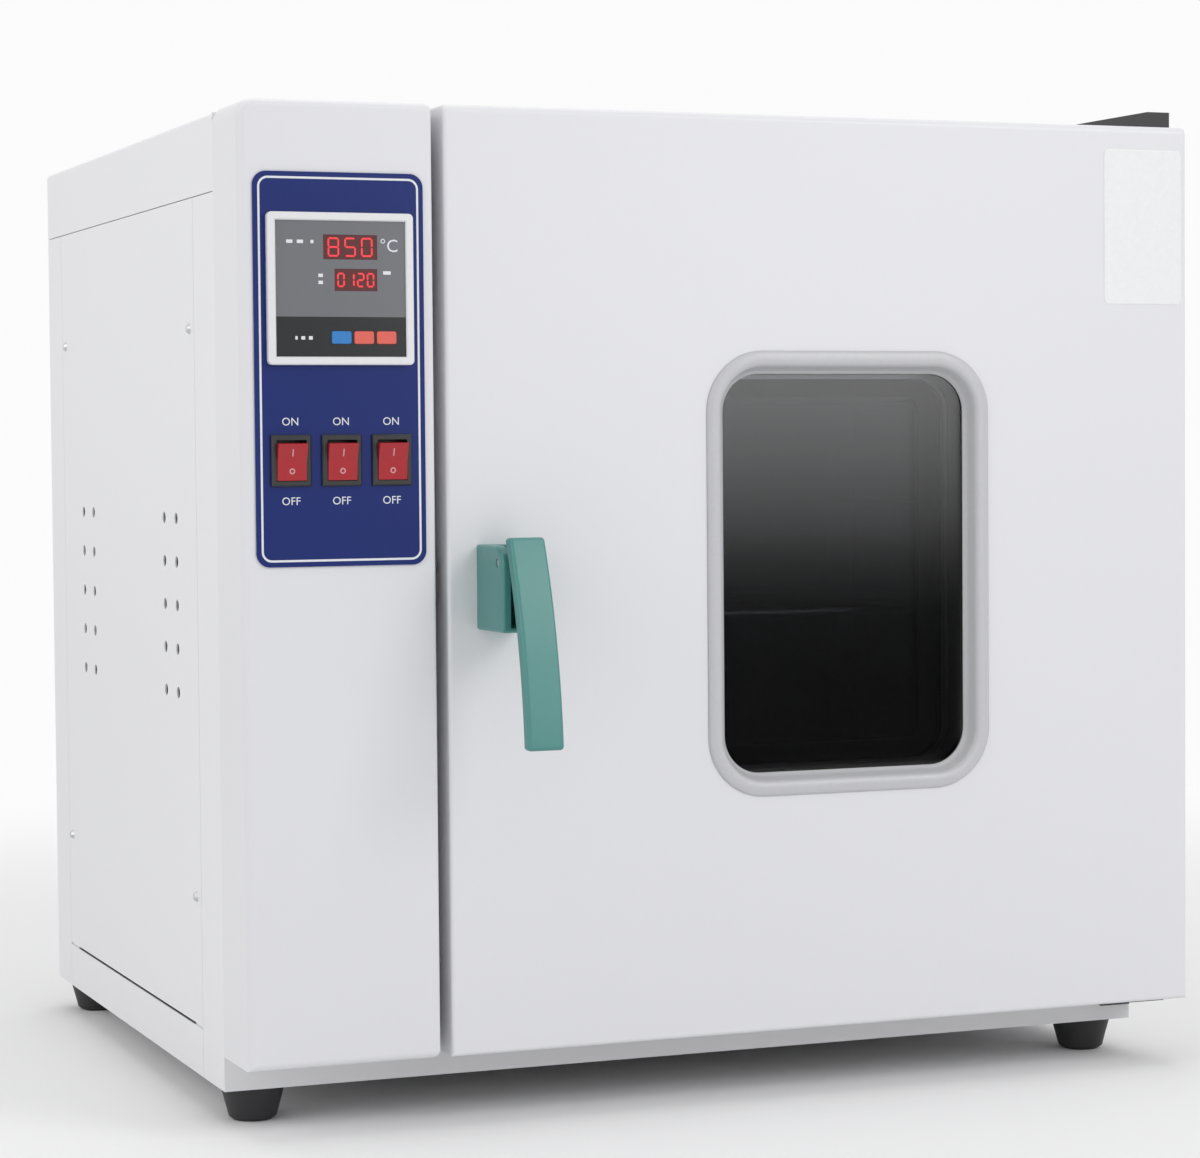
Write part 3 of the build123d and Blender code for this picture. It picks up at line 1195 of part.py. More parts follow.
# Window tunnel: the sleeve through the door's wool, flanged behind the outer pane
with BuildPart() as window_tunnel:
    with BuildSketch(facing_front(GLASS_Y + GLASS_T)):
        with Locations(WINDOW):
            rounded(OPENING, GLASS_EDGE)
    extrude(amount=-TUNNEL_T)
    with BuildSketch(facing_front(GLASS_Y + GLASS_T)):
        with Locations(WINDOW):
            rounded(OPENING, TUNNEL_T)
    extrude(amount=-(DOOR_REAR - SHEET - GLASS_Y - GLASS_T))
    with BuildSketch(facing_front(GLASS_Y + GLASS_T)):
        with Locations(WINDOW):
            rounded(OPENING)
    extrude(amount=-DOOR_D, mode=Mode.SUBTRACT)
window_tunnel.part.label = "window_tunnel"
export_step(window_tunnel.part, "parts/window_tunnel.step")

# Bright frame half way down the tunnel, and the dark frame that clamps the inner pane
with BuildPart() as mid_frame:
    with BuildSketch(facing_front(FACE + MID_FRAME_DEPTH)):
        with Locations(WINDOW):
            rounded(OPENING, -BEZEL_FIT)
            rounded(OPENING, -MID_FRAME_W, mode=Mode.SUBTRACT)
    extrude(amount=-MID_FRAME_T)
mid_frame.part.label = "mid_frame"
export_step(mid_frame.part, "parts/mid_frame.step")

with BuildPart() as inner_frame:
    with BuildSketch(facing_front(INNER_GLASS_Y - INNER_FRAME_T)):
        with Locations(WINDOW):
            rounded(OPENING, -BEZEL_FIT)
            rounded(OPENING, -INNER_STEP, mode=Mode.SUBTRACT)
    extrude(amount=-INNER_FRAME_T)
inner_frame.part.label = "inner_frame"
export_step(inner_frame.part, "parts/inner_frame.step")

with BuildPart() as inner_glass:
    with BuildSketch(facing_front(INNER_GLASS_Y)):
        with Locations(WINDOW):
            rounded(OPENING, INNER_GLASS_EDGE - INNER_STEP)
    extrude(amount=-GLASS_T)
inner_glass.part.label = "inner_glass"
export_step(inner_glass.part, "parts/inner_glass.step")

# Door liner: the bright inner pan, nested in the back of the door shell
with BuildPart() as door_liner:
    with BuildSketch(facing_front(DOOR_REAR)):
        rectangle_between(DOOR_INSIDE[0], DOOR_INSIDE[1])
        offset(amount=-SEAT, kind=Kind.INTERSECTION, mode=Mode.REPLACE)
    extrude(amount=LINER_FLANGE)
    with BuildSketch(facing_front(DOOR_REAR - LINER_FLANGE)):
        rectangle_between(DOOR_INSIDE[0], DOOR_INSIDE[1])
        offset(amount=-SEAT - SHEET, kind=Kind.INTERSECTION, mode=Mode.REPLACE)
    extrude(amount=-(LINER_FLANGE - SHEET), mode=Mode.SUBTRACT)
    with BuildSketch(facing_front(DOOR_REAR)):
        with Locations(WINDOW):
            rounded(OPENING, -INNER_STEP)
    extrude(amount=2 * SHEET, mode=Mode.SUBTRACT)
door_liner.part.label = "door_liner"
export_step(door_liner.part, "parts/door_liner.step")

# Wool inside the door, cut out round the window tunnel
with BuildPart() as door_wool:
    block_between(
        (CASE_RIGHT + CASE_WALL, GLASS_Y + BEZEL_BACK, SHELL_Z + DOOR_WOOL_MARGIN),
        (DOOR_RIGHT - DOOR_WOOL_MARGIN, DOOR_REAR - SHEET, SHELL_TOP - DOOR_WOOL_MARGIN),
    )
    with BuildSketch(facing_front(FACE)):
        with Locations(WINDOW):
            rounded(OPENING, GLASS_EDGE + TUNNEL_T)
    extrude(amount=-DOOR_D, mode=Mode.SUBTRACT)
door_wool.part.label = "door_wool"
export_step(door_wool.part, "parts/door_wool.step")

# Door gasket: a rounded rubber ring on the door liner, facing the rim of the mouth
with BuildPart() as door_gasket:
    with BuildSketch(facing_front(BODY_FRONT - SEAT)):
        with Locations(MOUTH_MID):
            rounded((MOUTH_W, MOUTH_H, MOUTH_R), GASKET_OFFSET + GASKET_W)
            rounded((MOUTH_W, MOUTH_H, MOUTH_R), GASKET_OFFSET, mode=Mode.SUBTRACT)
    extrude(amount=BODY_FRONT - SEAT - DOOR_REAR)
    chamfer(door_gasket.faces().sort_by(Axis.Y)[-1].edges(), GASKET_EDGE)
door_gasket.part.label = "door_gasket"
export_step(door_gasket.part, "parts/door_gasket.step")

# Hinge blocks: bored bushes in the door's two right-hand corners
with BuildPart() as hinge_blocks:
    with Locations(*((*HINGE, z) for z in HINGE_BLOCKS_Z)):
        Box(HINGE_BLOCK, HINGE_BLOCK, PIN_GRIP)
        Cylinder(PIN_R + SHAFT_CLEARANCE, PIN_GRIP, mode=Mode.SUBTRACT)
hinge_blocks.part.label = "hinge_blocks"
export_step(hinge_blocks.part, "parts/hinge_blocks.step")

# Upper hinge: a joggled bracket on the top cover with its headed pin
with BuildPart() as upper_bracket:
    lift = SHELL_TOP + BRACKET_LIFT - BODY_TOP
    tip = HINGE[1] - HINGE_BLOCK / 2
    tail_right = BODY_RIGHT - TOP_EDGE_R - 2 * COVER_WALL
    with BuildSketch(Plane.YZ.offset(HINGE[0] - BRACKET_W)):
        with BuildLine():
            Polyline(
                (tip, BODY_TOP + lift),
                (BODY_FRONT, BODY_TOP + lift),
                (BODY_FRONT + lift, BODY_TOP),
                (BODY_FRONT + BRACKET_TAIL, BODY_TOP),
                (BODY_FRONT + BRACKET_TAIL, BODY_TOP + BRACKET_T),
                (BODY_FRONT + lift + BRACKET_T / 2, BODY_TOP + BRACKET_T),
                (BODY_FRONT + BRACKET_T / 2, BODY_TOP + BRACKET_T + lift),
                (tip, BODY_TOP + BRACKET_T + lift),
                close=True,
            )
        make_face()
    extrude(amount=tail_right - HINGE[0] + BRACKET_W)
    block_between(
        (HINGE[0] - BRACKET_W, tip, BODY_TOP + lift),
        (HINGE[0] + BRACKET_EDGE, BODY_FRONT - SEAM, BODY_TOP + lift + BRACKET_T),
    )
    with Locations((*HINGE, BODY_TOP + lift)):
        Cylinder(PIN_R, 4 * BRACKET_T, mode=Mode.SUBTRACT)
upper_bracket.part.label = "upper_bracket"
export_step(upper_bracket.part, "parts/upper_bracket.step")

# Lower hinge: a plate under the door with a short leg on the front frame
with BuildPart() as lower_bracket:
    block_between(
        (HINGE[0] - BRACKET_W, HINGE[1] - HINGE_BLOCK / 2, SHELL_Z - BRACKET_LIFT - BRACKET_T),
        (HINGE[0] + BRACKET_EDGE, BODY_FRONT - SEAM, SHELL_Z - BRACKET_LIFT),
    )
    block_between(
        (HINGE[0] - BRACKET_W, BODY_FRONT - BRACKET_T, SHELL_Z - BRACKET_LIFT - LOWER_BRACKET_LEG),
        (BODY_RIGHT - SHEET, BODY_FRONT, SHELL_Z - BRACKET_LIFT),
    )
    with Locations((*HINGE, SHELL_Z - BRACKET_LIFT)):
        Cylinder(PIN_R, 4 * BRACKET_T, mode=Mode.SUBTRACT)
lower_bracket.part.label = "lower_bracket"
export_step(lower_bracket.part, "parts/lower_bracket.step")

# Hinge pins: the upper one headed, the lower one flush under its bracket
with BuildPart() as hinge_pins:
    reach = BRACKET_LIFT + BRACKET_T + SHELL_SHEET + PIN_GRIP
    with BuildSketch(Plane.XY.offset(SHELL_TOP + BRACKET_LIFT + BRACKET_T - reach)):
        with Locations(HINGE):
            Circle(PIN_R)
    extrude(amount=reach)
    with BuildSketch(Plane.XY.offset(SHELL_TOP + BRACKET_LIFT + BRACKET_T)):
        with Locations(HINGE):
            Circle(BRACKET_EDGE)
    extrude(amount=PIN_HEAD_T)
    with BuildSketch(Plane.XY.offset(SHELL_Z - BRACKET_LIFT - BRACKET_T)):
        with Locations(HINGE):
            Circle(PIN_R)
    extrude(amount=reach)
hinge_pins.part.label = "hinge_pins"
export_step(hinge_pins.part, "parts/hinge_pins.step")

# Hinge cover: a black moulded cap over the upper bracket, ramped on its left
with BuildPart() as hinge_cover:
    cover_left = DOOR_RIGHT - COVER_LEFT
    cover_right = DOOR_RIGHT - COVER_RIGHT
    cover_z = SHELL_TOP + SEAT
    pocket_z = SHELL_TOP + BRACKET_LIFT + BRACKET_T + PIN_HEAD_T + SEAT
    with BuildSketch(facing_front(FACE + COVER_SETBACK)):
        with BuildLine():
            Polyline(
                (cover_left, cover_z),
                (cover_right, cover_z),
                (cover_right, SHELL_TOP + COVER_H),
                (DOOR_RIGHT - COVER_FLAT, SHELL_TOP + COVER_H),
                (cover_left, cover_z + COVER_WALL),
                close=True,
            )
        make_face()
    extrude(amount=-(BODY_FRONT - FACE - COVER_SETBACK + COVER_REAR))
    block_between(
        (cover_left, BODY_FRONT + SEAM, BODY_TOP),
        (BODY_RIGHT - TOP_EDGE_R, BODY_FRONT + COVER_REAR, cover_z),
    )
    block_between(
        (BODY_RIGHT - TOP_EDGE_R, BODY_FRONT, BODY_TOP),
        (cover_right, BODY_FRONT + COVER_REAR, SHELL_TOP + COVER_H),
        mode=Mode.SUBTRACT,
    )
    block_between(
        (HINGE[0] - BRACKET_W - SEAT, tip - SEAT, BODY_TOP),
        (HINGE[0] + BRACKET_EDGE + SEAT, BODY_FRONT - SEAT, pocket_z),
        mode=Mode.SUBTRACT,
    )
    block_between(
        (HINGE[0] - BRACKET_W - SEAT, tip - SEAT, BODY_TOP),
        (tail_right + SEAT, BODY_FRONT + BRACKET_TAIL + SEAT, pocket_z),
        mode=Mode.SUBTRACT,
    )
hinge_cover.part.label = "hinge_cover"
export_step(hinge_cover.part, "parts/hinge_cover.step")

# Handle boss: the moulded block on the door, hollow and open in front for the lever's web
with BuildPart() as handle_boss:
    with BuildSketch(Plane.YZ.offset(BOSS_MID - BOSS_W / 2)) as boss_side:
        rectangle_between((FACE - BOSS_D, BOSS_Z0), (FACE, BOSS_Z1))
        front_corners = boss_side.vertices().group_by(Axis.X)[0].sort_by(Axis.Y)
        fillet(front_corners[-1], BOSS_TOP_R)
        front_corners = boss_side.vertices().group_by(Axis.X)[0].sort_by(Axis.Y)
        fillet(front_corners[0], BOSS_EDGE_R)
    extrude(amount=BOSS_W)
    sides = handle_boss.faces().filter_by(Axis.X)
    fillet(sides.edges().filter_by_position(Axis.Y, FACE - BOSS_D - 1, FACE - SEAM), BOSS_ROUND_R)
    block_between(
        (BOSS_MID - BOSS_W / 2 + BOSS_WALL, FACE - BOSS_D - SEAM, BOSS_Z0 + BOSS_FLOOR),
        (BOSS_MID + BOSS_W / 2 - BOSS_WALL, FACE - BOSS_BACK, BOSS_Z1 - BOSS_FLOOR),
        mode=Mode.SUBTRACT,
    )
    block_between(
        (BOSS_MID - BOSS_W / 2 + BOSS_WALL, FACE - BOSS_D - SEAM, PIVOT[1]),
        (BOSS_MID + BOSS_W / 2 - BOSS_WALL, FACE - BOSS_OPEN, BOSS_Z1 + SEAM),
        mode=Mode.SUBTRACT,
    )
    with BuildSketch(facing_front(FACE)):
        with Locations((BOSS_MID, ROD_SLOT_Z)):
            SlotOverall(ROD_SLOT_H, ROD_SLOT_W, rotation=90)
    extrude(amount=BOSS_BACK + SEAM, mode=Mode.SUBTRACT)
    with Locations((BOSS_MID, *PIVOT)):
        Cylinder(PIVOT_R, 2 * BOSS_W, rotation=(0, 90, 0), mode=Mode.SUBTRACT)
handle_boss.part.label = "handle_boss"
export_step(handle_boss.part, "parts/handle_boss.step")

# Lever pin through the two cheeks of the boss
with BuildPart() as lever_pin:
    with Locations((BOSS_MID, *PIVOT)):
        Cylinder(PIVOT_R, BOSS_W - 2 * SEAM, rotation=(0, 90, 0))
lever_pin.part.label = "lever_pin"
export_step(lever_pin.part, "parts/lever_pin.step")

# Lever: a bowed grip bar, a web at its back that turns on the pin, and a moulded-in rod
# that reaches through the door's skin to the latch bolt
with BuildPart() as handle_lever:
    with BuildSketch(Plane.YZ.offset(BOSS_MID - LEVER_W / 2)):
        with BuildLine():
            front = ThreePointArc(*LEVER_FRONT_POINTS)
            back = ThreePointArc(*((y + LEVER_T, z) for y, z in LEVER_FRONT_POINTS))
            Line(front @ 0, back @ 0)
            Line(front @ 1, back @ 1)
        make_face()
    extrude(amount=LEVER_W)
    fillet(handle_lever.edges(), LEVER_EDGE_R)
    with BuildSketch(Plane.YZ.offset(BOSS_MID - WEB_W / 2)):
        with BuildLine():
            Polyline(
                (PIVOT[0], PIVOT[1] + WEB_R),
                (PIVOT[0] - WEB_REACH, PIVOT[1] + WEB_R),
                (PIVOT[0] - WEB_REACH - WEB_R, PIVOT[1] - 2 * WEB_R),
                (PIVOT[0], PIVOT[1] - WEB_R),
            )
            ThreePointArc(
                (PIVOT[0], PIVOT[1] - WEB_R),
                (PIVOT[0] + WEB_R, PIVOT[1]),
                (PIVOT[0], PIVOT[1] + WEB_R),
            )
        make_face()
    extrude(amount=WEB_W)
    with Locations((BOSS_MID, *PIVOT)):
        Cylinder(
            PIVOT_R + SHAFT_CLEARANCE, 2 * BOSS_W, rotation=(0, 90, 0), mode=Mode.SUBTRACT
        )
    with BuildSketch(ROD_PLANE.offset(WEB_R - SEAM)):
        Circle(LATCH_ROD_R)
    extrude(amount=LATCH_ROD_L - WEB_R + SEAM)
handle_lever.part.label = "handle_lever"
export_step(handle_lever.part, "parts/handle_lever.step")

# Latch bolt: a plate with a slanting slot for the rod and a nose through the door's edge
with BuildPart() as latch_bolt:
    with BuildSketch(facing_front(FACE + BOLT_Y)):
        rectangle_between(
            (BOLT_PLATE_X - BOLT_PLATE_W / 2, BOLT_PLATE_MID - BOLT_PLATE_H / 2),
            (BOLT_PLATE_X + BOLT_PLATE_W / 2, BOLT_PLATE_MID + BOLT_PLATE_H / 2),
        )
        rectangle_between(
            (COLUMN_RIGHT + KEEPER_T + BOLT_NOSE_GAP, BOLT_NOSE_MID - BOLT_NOSE_H / 2),
            (BOLT_PLATE_X, BOLT_NOSE_MID + BOLT_NOSE_H / 2),
        )
        with Locations((BOLT_PLATE_X, BOLT_PLATE_MID)):
            SlotCenterToCenter(
                BOLT_SLOT_RUN, BOLT_SLOT_W, rotation=90 - BOLT_SLANT, mode=Mode.SUBTRACT
            )
    extrude(amount=-BOLT_T)
latch_bolt.part.label = "latch_bolt"
export_step(latch_bolt.part, "parts/latch_bolt.step")

# Latch case: a folded box on the door skin that guides the bolt plate
with BuildPart() as latch_case:
    case_low = BOLT_PLATE_MID - BOLT_PLATE_H / 2 - SEAT
    case_high = BOLT_PLATE_MID + BOLT_PLATE_H / 2 + SEAT
    block_between(
        (DOOR_LEFT + GAP_EDGE_R, FACE + SHELL_SHEET, case_low - CASE_WALL),
        (CASE_RIGHT, FACE + BOLT_Y + BOLT_T + SEAT + CASE_WALL, case_high + CASE_WALL),
    )
    block_between(
        (DOOR_LEFT, FACE, case_low),
        (CASE_RIGHT + SEAM, FACE + BOLT_Y - SEAT - CASE_WALL, case_high),
        mode=Mode.SUBTRACT,
    )
    block_between(
        (DOOR_LEFT, FACE + BOLT_Y - SEAT, case_low),
        (CASE_RIGHT + SEAM, FACE + BOLT_Y + BOLT_T + SEAT, case_high),
        mode=Mode.SUBTRACT,
    )
    with BuildSketch(facing_front(FACE)):
        with Locations((BOSS_MID, BOLT_PLATE_MID)):
            Rectangle(ROD_SLOT_W, CASE_SLOT_H)
    extrude(amount=-DOOR_D, mode=Mode.SUBTRACT)
latch_case.part.label = "latch_case"
export_step(latch_case.part, "parts/latch_case.step")

# Keeper: a spring leaf on the column's wall, its hump in front of the bolt's nose
with BuildPart() as keeper:
    hump = FACE + BOLT_Y - KEEPER_NOSE_GAP
    with BuildSketch(Plane.XY.offset(BOLT_NOSE_MID - KEEPER_H / 2)):
        with BuildLine():
            Polyline(
                (COLUMN_RIGHT, hump),
                (COLUMN_RIGHT, hump + KEEPER_TAIL),
                (COLUMN_RIGHT + KEEPER_T, hump + KEEPER_TAIL),
                (COLUMN_RIGHT + KEEPER_T, hump),
            )
            ThreePointArc(
                (COLUMN_RIGHT + KEEPER_T, hump),
                (COLUMN_RIGHT + KEEPER_HUMP, hump - KEEPER_HUMP_L / 2),
                (COLUMN_RIGHT + KEEPER_T, hump - KEEPER_HUMP_L),
            )
            Line(
                (COLUMN_RIGHT + KEEPER_T, hump - KEEPER_HUMP_L),
                (COLUMN_RIGHT, hump - KEEPER_HUMP_L),
            )
            ThreePointArc(
                (COLUMN_RIGHT, hump - KEEPER_HUMP_L),
                (COLUMN_RIGHT + KEEPER_HUMP - KEEPER_T, hump - KEEPER_HUMP_L / 2),
                (COLUMN_RIGHT, hump),
            )
        make_face()
    extrude(amount=KEEPER_H)
keeper.part.label = "keeper"
export_step(keeper.part, "parts/keeper.step")
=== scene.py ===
"""Looks of a bench-top hot-air drying oven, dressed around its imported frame.
The sections follow the oven as it is put together: studio, cabinet, chamber, door, handle,
controls, the prints on them, the door's blank plate, and the window."""

import json
from math import cos, radians, sin

import bpy
import numpy as np
from mathutils import Matrix, Vector


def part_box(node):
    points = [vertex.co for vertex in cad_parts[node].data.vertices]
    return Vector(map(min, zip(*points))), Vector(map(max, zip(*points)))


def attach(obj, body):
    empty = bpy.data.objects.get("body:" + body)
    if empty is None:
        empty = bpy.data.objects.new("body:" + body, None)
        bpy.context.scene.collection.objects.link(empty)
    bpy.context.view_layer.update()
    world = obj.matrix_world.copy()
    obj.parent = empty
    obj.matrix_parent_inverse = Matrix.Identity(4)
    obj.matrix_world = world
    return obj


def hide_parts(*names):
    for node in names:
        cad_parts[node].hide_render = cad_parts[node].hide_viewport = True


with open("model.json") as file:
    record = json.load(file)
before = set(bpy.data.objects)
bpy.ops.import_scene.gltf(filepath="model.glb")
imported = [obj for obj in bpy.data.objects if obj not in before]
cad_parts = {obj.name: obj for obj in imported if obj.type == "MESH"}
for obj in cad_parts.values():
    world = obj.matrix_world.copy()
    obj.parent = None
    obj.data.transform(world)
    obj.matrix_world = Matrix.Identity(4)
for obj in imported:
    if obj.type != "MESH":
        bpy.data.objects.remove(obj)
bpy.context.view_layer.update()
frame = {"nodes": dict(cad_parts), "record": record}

# Studio camera: a long lens left of the oven's middle, a little above it, nearly level.
# Its place and turn were solved from the cabinet's straight edges.
FRAME_PX = (1200, 1158)
FOCAL_PX = 3251.5
CAMERA_AT = Vector((-0.89165, -2.27073, 0.44896))
CAMERA_YAW, CAMERA_PITCH, CAMERA_ROLL = radians(21.41), radians(-2.36), radians(-0.48)
SENSOR_WIDTH = 36
VIEW_REACH = 50
ahead = Vector((sin(CAMERA_YAW) * cos(CAMERA_PITCH), cos(CAMERA_YAW) * cos(CAMERA_PITCH),
                sin(CAMERA_PITCH)))
level_right = Vector((cos(CAMERA_YAW), -sin(CAMERA_YAW), 0))
level_up = level_right.cross(ahead)
right = level_right * cos(CAMERA_ROLL) + level_up * sin(CAMERA_ROLL)
up = right.cross(ahead)
camera_data = bpy.data.cameras.new("camera")
camera_data.sensor_fit = "HORIZONTAL"
camera_data.sensor_width = SENSOR_WIDTH
camera_data.lens = FOCAL_PX / FRAME_PX[0] * SENSOR_WIDTH
camera_data.clip_end = VIEW_REACH
camera = bpy.data.objects.new("camera", camera_data)
bpy.context.scene.collection.objects.link(camera)
camera_turn = Matrix((right, up, -ahead)).transposed().to_4x4()
camera.matrix_world = Matrix.Translation(CAMERA_AT) @ camera_turn
bpy.context.scene.camera = camera
bpy.context.scene.view_settings.view_transform = "Standard"


# Studio floor and light: a wide pale floor that fades into an even white room, and three
# soft lamps. Only the ground near the oven takes its shadow.
def new_object(name, verts, faces, material=None, smooth=False):
    """A mesh object at the origin from arrays of corners and faces."""
    mesh = bpy.data.meshes.new(name)
    mesh.from_pydata([tuple(v) for v in np.asarray(verts, float).tolist()], [],
                     [tuple(f) for f in np.asarray(faces, int).tolist()])
    mesh.validate()
    mesh.update()
    if smooth:
        mesh.polygons.foreach_set("use_smooth", np.ones(len(mesh.polygons), bool))
    if material is not None:
        mesh.materials.append(material)
    piece = bpy.data.objects.new(name, mesh)
    bpy.context.scene.collection.objects.link(piece)
    return piece


def new_material(name):
    """A node material with its Principled shader and its output, nothing linked to them."""
    material = bpy.data.materials.new(name)
    material.use_nodes = True
    nodes = material.node_tree.nodes
    return material, nodes, material.node_tree.links, nodes["Principled BSDF"]


FLOOR_HALF = 12.0
FLOOR_TONE = 0.90
FLOOR_ROUGHNESS, FLOOR_SHEEN = 0.9, 0.1
FADE_FROM, FADE_TO = 0.62, 1.9
ROOM_LIGHT = 0.66
ROOM_SEEN = 0.97
floor_paint, nodes, links, shader = new_material("studio_floor")
shader.inputs["Base Color"].default_value = (FLOOR_TONE, FLOOR_TONE, FLOOR_TONE, 1)
shader.inputs["Roughness"].default_value = FLOOR_ROUGHNESS
shader.inputs["Specular IOR Level"].default_value = FLOOR_SHEEN
ground = nodes.new("ShaderNodeTexCoord")
distance = nodes.new("ShaderNodeVectorMath")
distance.operation = "LENGTH"
links.new(ground.outputs["Object"], distance.inputs[0])
fade = nodes.new("ShaderNodeMapRange")
fade.interpolation_type = "SMOOTHSTEP"
fade.inputs["From Min"].default_value = FADE_FROM
fade.inputs["From Max"].default_value = FADE_TO
links.new(distance.outputs["Value"], fade.inputs["Value"])
light_path = nodes.new("ShaderNodeLightPath")
seen_fade = nodes.new("ShaderNodeMath")
seen_fade.operation = "MULTIPLY"
links.new(fade.outputs["Result"], seen_fade.inputs[0])
links.new(light_path.outputs["Is Camera Ray"], seen_fade.inputs[1])
glow = nodes.new("ShaderNodeEmission")
glow.inputs["Strength"].default_value = ROOM_SEEN
blend = nodes.new("ShaderNodeMixShader")
links.new(seen_fade.outputs[0], blend.inputs["Fac"])
links.new(shader.outputs["BSDF"], blend.inputs[1])
links.new(glow.outputs["Emission"], blend.inputs[2])
links.new(blend.outputs["Shader"], nodes["Material Output"].inputs["Surface"])
floor = new_object("studio_floor",
                   [(-FLOOR_HALF, -FLOOR_HALF, 0), (FLOOR_HALF, -FLOOR_HALF, 0),
                    (FLOOR_HALF, FLOOR_HALF, 0), (-FLOOR_HALF, FLOOR_HALF, 0)],
                   [(0, 1, 2, 3)], floor_paint)

world = bpy.data.worlds.new("room")
bpy.context.scene.world = world
world.use_nodes = True
nodes, links = world.node_tree.nodes, world.node_tree.links
background = nodes["Background"]
background.inputs["Color"].default_value = (1, 1, 1, 1)
path = nodes.new("ShaderNodeLightPath")
seen = nodes.new("ShaderNodeMath")
seen.operation = "MAXIMUM"
links.new(path.outputs["Is Camera Ray"], seen.inputs[0])
either = nodes.new("ShaderNodeMath")
either.operation = "MAXIMUM"
links.new(path.outputs["Is Transmission Ray"], either.inputs[0])
links.new(path.outputs["Is Glossy Ray"], either.inputs[1])
links.new(either.outputs[0], seen.inputs[1])
strength = nodes.new("ShaderNodeMapRange")
strength.inputs["To Min"].default_value = ROOM_LIGHT
strength.inputs["To Max"].default_value = ROOM_SEEN
links.new(seen.outputs[0], strength.inputs["Value"])
links.new(strength.outputs[0], background.inputs["Strength"])

LAMP_AIM = Vector((0, 0, 0.35))
LAMPS = (("lamp_left", (-2.6, -0.6, 1.5), 2.2, 15.0),
         ("lamp_front", (1.5, -2.6, 2.0), 1.4, 26.0),
         ("lamp_top", (0.0, 0.4, 2.8), 2.4, 17.0))
for name, place, width, power in LAMPS:
    lamp_data = bpy.data.lights.new(name, "AREA")
    lamp_data.size = width
    lamp_data.energy = power
    lamp = bpy.data.objects.new(name, lamp_data)
    bpy.context.scene.collection.objects.link(lamp)
    lamp.location = place
    aim = LAMP_AIM - Vector(place)
    lamp.rotation_euler = aim.to_track_quat("-Z", "Y").to_euler()


# Cabinet sheets: folded steel under a satin off-white powder coat, sprayed before the
# screws go in. The coat has a faint orange-peel ripple.
COLOUR_A, COLOUR_B, COLOUR_OUT = 6, 7, 2  # the colour sockets of a Mix node
PEEL_FINENESS, PEEL_DETAIL, PEEL_HEIGHT = 420, 2, 0.0004
CLOUD_FINENESS, CLOUD_DETAIL, CLOUD_TONE = 3.5, 3, 0.985
GLOSS_SPREAD = 0.03


def powder_coat(name, colour, roughness=0.42, peel=0.05):
    """Sprayed powder coat: a flat colour with a fine ripple and slightly uneven gloss."""
    material, nodes, links, shader = new_material(name)
    place = nodes.new("ShaderNodeTexCoord")
    ripple = nodes.new("ShaderNodeTexNoise")
    ripple.inputs["Scale"].default_value = PEEL_FINENESS
    ripple.inputs["Detail"].default_value = PEEL_DETAIL
    links.new(place.outputs["Object"], ripple.inputs["Vector"])
    bump = nodes.new("ShaderNodeBump")
    bump.inputs["Strength"].default_value = peel
    bump.inputs["Distance"].default_value = PEEL_HEIGHT
    links.new(ripple.outputs["Fac"], bump.inputs["Height"])
    links.new(bump.outputs["Normal"], shader.inputs["Normal"])
    cloud = nodes.new("ShaderNodeTexNoise")
    cloud.inputs["Scale"].default_value = CLOUD_FINENESS
    cloud.inputs["Detail"].default_value = CLOUD_DETAIL
    links.new(place.outputs["Object"], cloud.inputs["Vector"])
    tone = nodes.new("ShaderNodeMix")
    tone.data_type = "RGBA"
    tone.inputs[COLOUR_A].default_value = (*(CLOUD_TONE * c for c in colour), 1)
    tone.inputs[COLOUR_B].default_value = (*colour, 1)
    links.new(cloud.outputs["Fac"], tone.inputs[0])
    links.new(tone.outputs[COLOUR_OUT], shader.inputs["Base Color"])
    gloss = nodes.new("ShaderNodeMapRange")
    gloss.inputs["To Min"].default_value = roughness - GLOSS_SPREAD
    gloss.inputs["To Max"].default_value = roughness + GLOSS_SPREAD
    links.new(cloud.outputs["Fac"], gloss.inputs["Value"])
    links.new(gloss.outputs[0], shader.inputs["Roughness"])
    return material


def finish_nodes(material, *names):
    """Gives CAD nodes a finish through their objects' own material slots."""
    for name in names:
        piece = frame["nodes"][name]
        if not piece.material_slots:
            piece.data.materials.append(material)
        for slot in piece.material_slots:
            slot.link = "OBJECT"
            slot.material = material


CABINET_COLOUR = (0.80, 0.80, 0.82)
# The door and column shells take a copy of the cabinet coat painted a little darker and bluer:
# painted shade for the front's dimmer light.
SHADED_FRONT_COLOUR, FRONT_ROUGHNESS = (0.76, 0.76, 0.79), 0.38
cabinet_coat = powder_coat("cabinet_coat", CABINET_COLOUR)
finish_nodes(cabinet_coat, "rear_panel", "right_side", "top_cover", "left_side_panel",
             "front_frame", "exhaust_tube", "base_pan")
shaded_front_coat = powder_coat("shaded_front_coat", SHADED_FRONT_COLOUR, FRONT_ROUGHNESS)
finish_nodes(shaded_front_coat, "column_shell", "door_shell")


# Feet, wool and inner fittings: rubber feet, mineral wool round the chamber and in the door,
# a zinc-plated wall with its relay, bright plated screws, and a black moulded cable gland and
# exhaust cap.
GRAIN_FINENESS, GRAIN_STRENGTH, GRAIN_TONE = 300.0, 0.12, 0.93


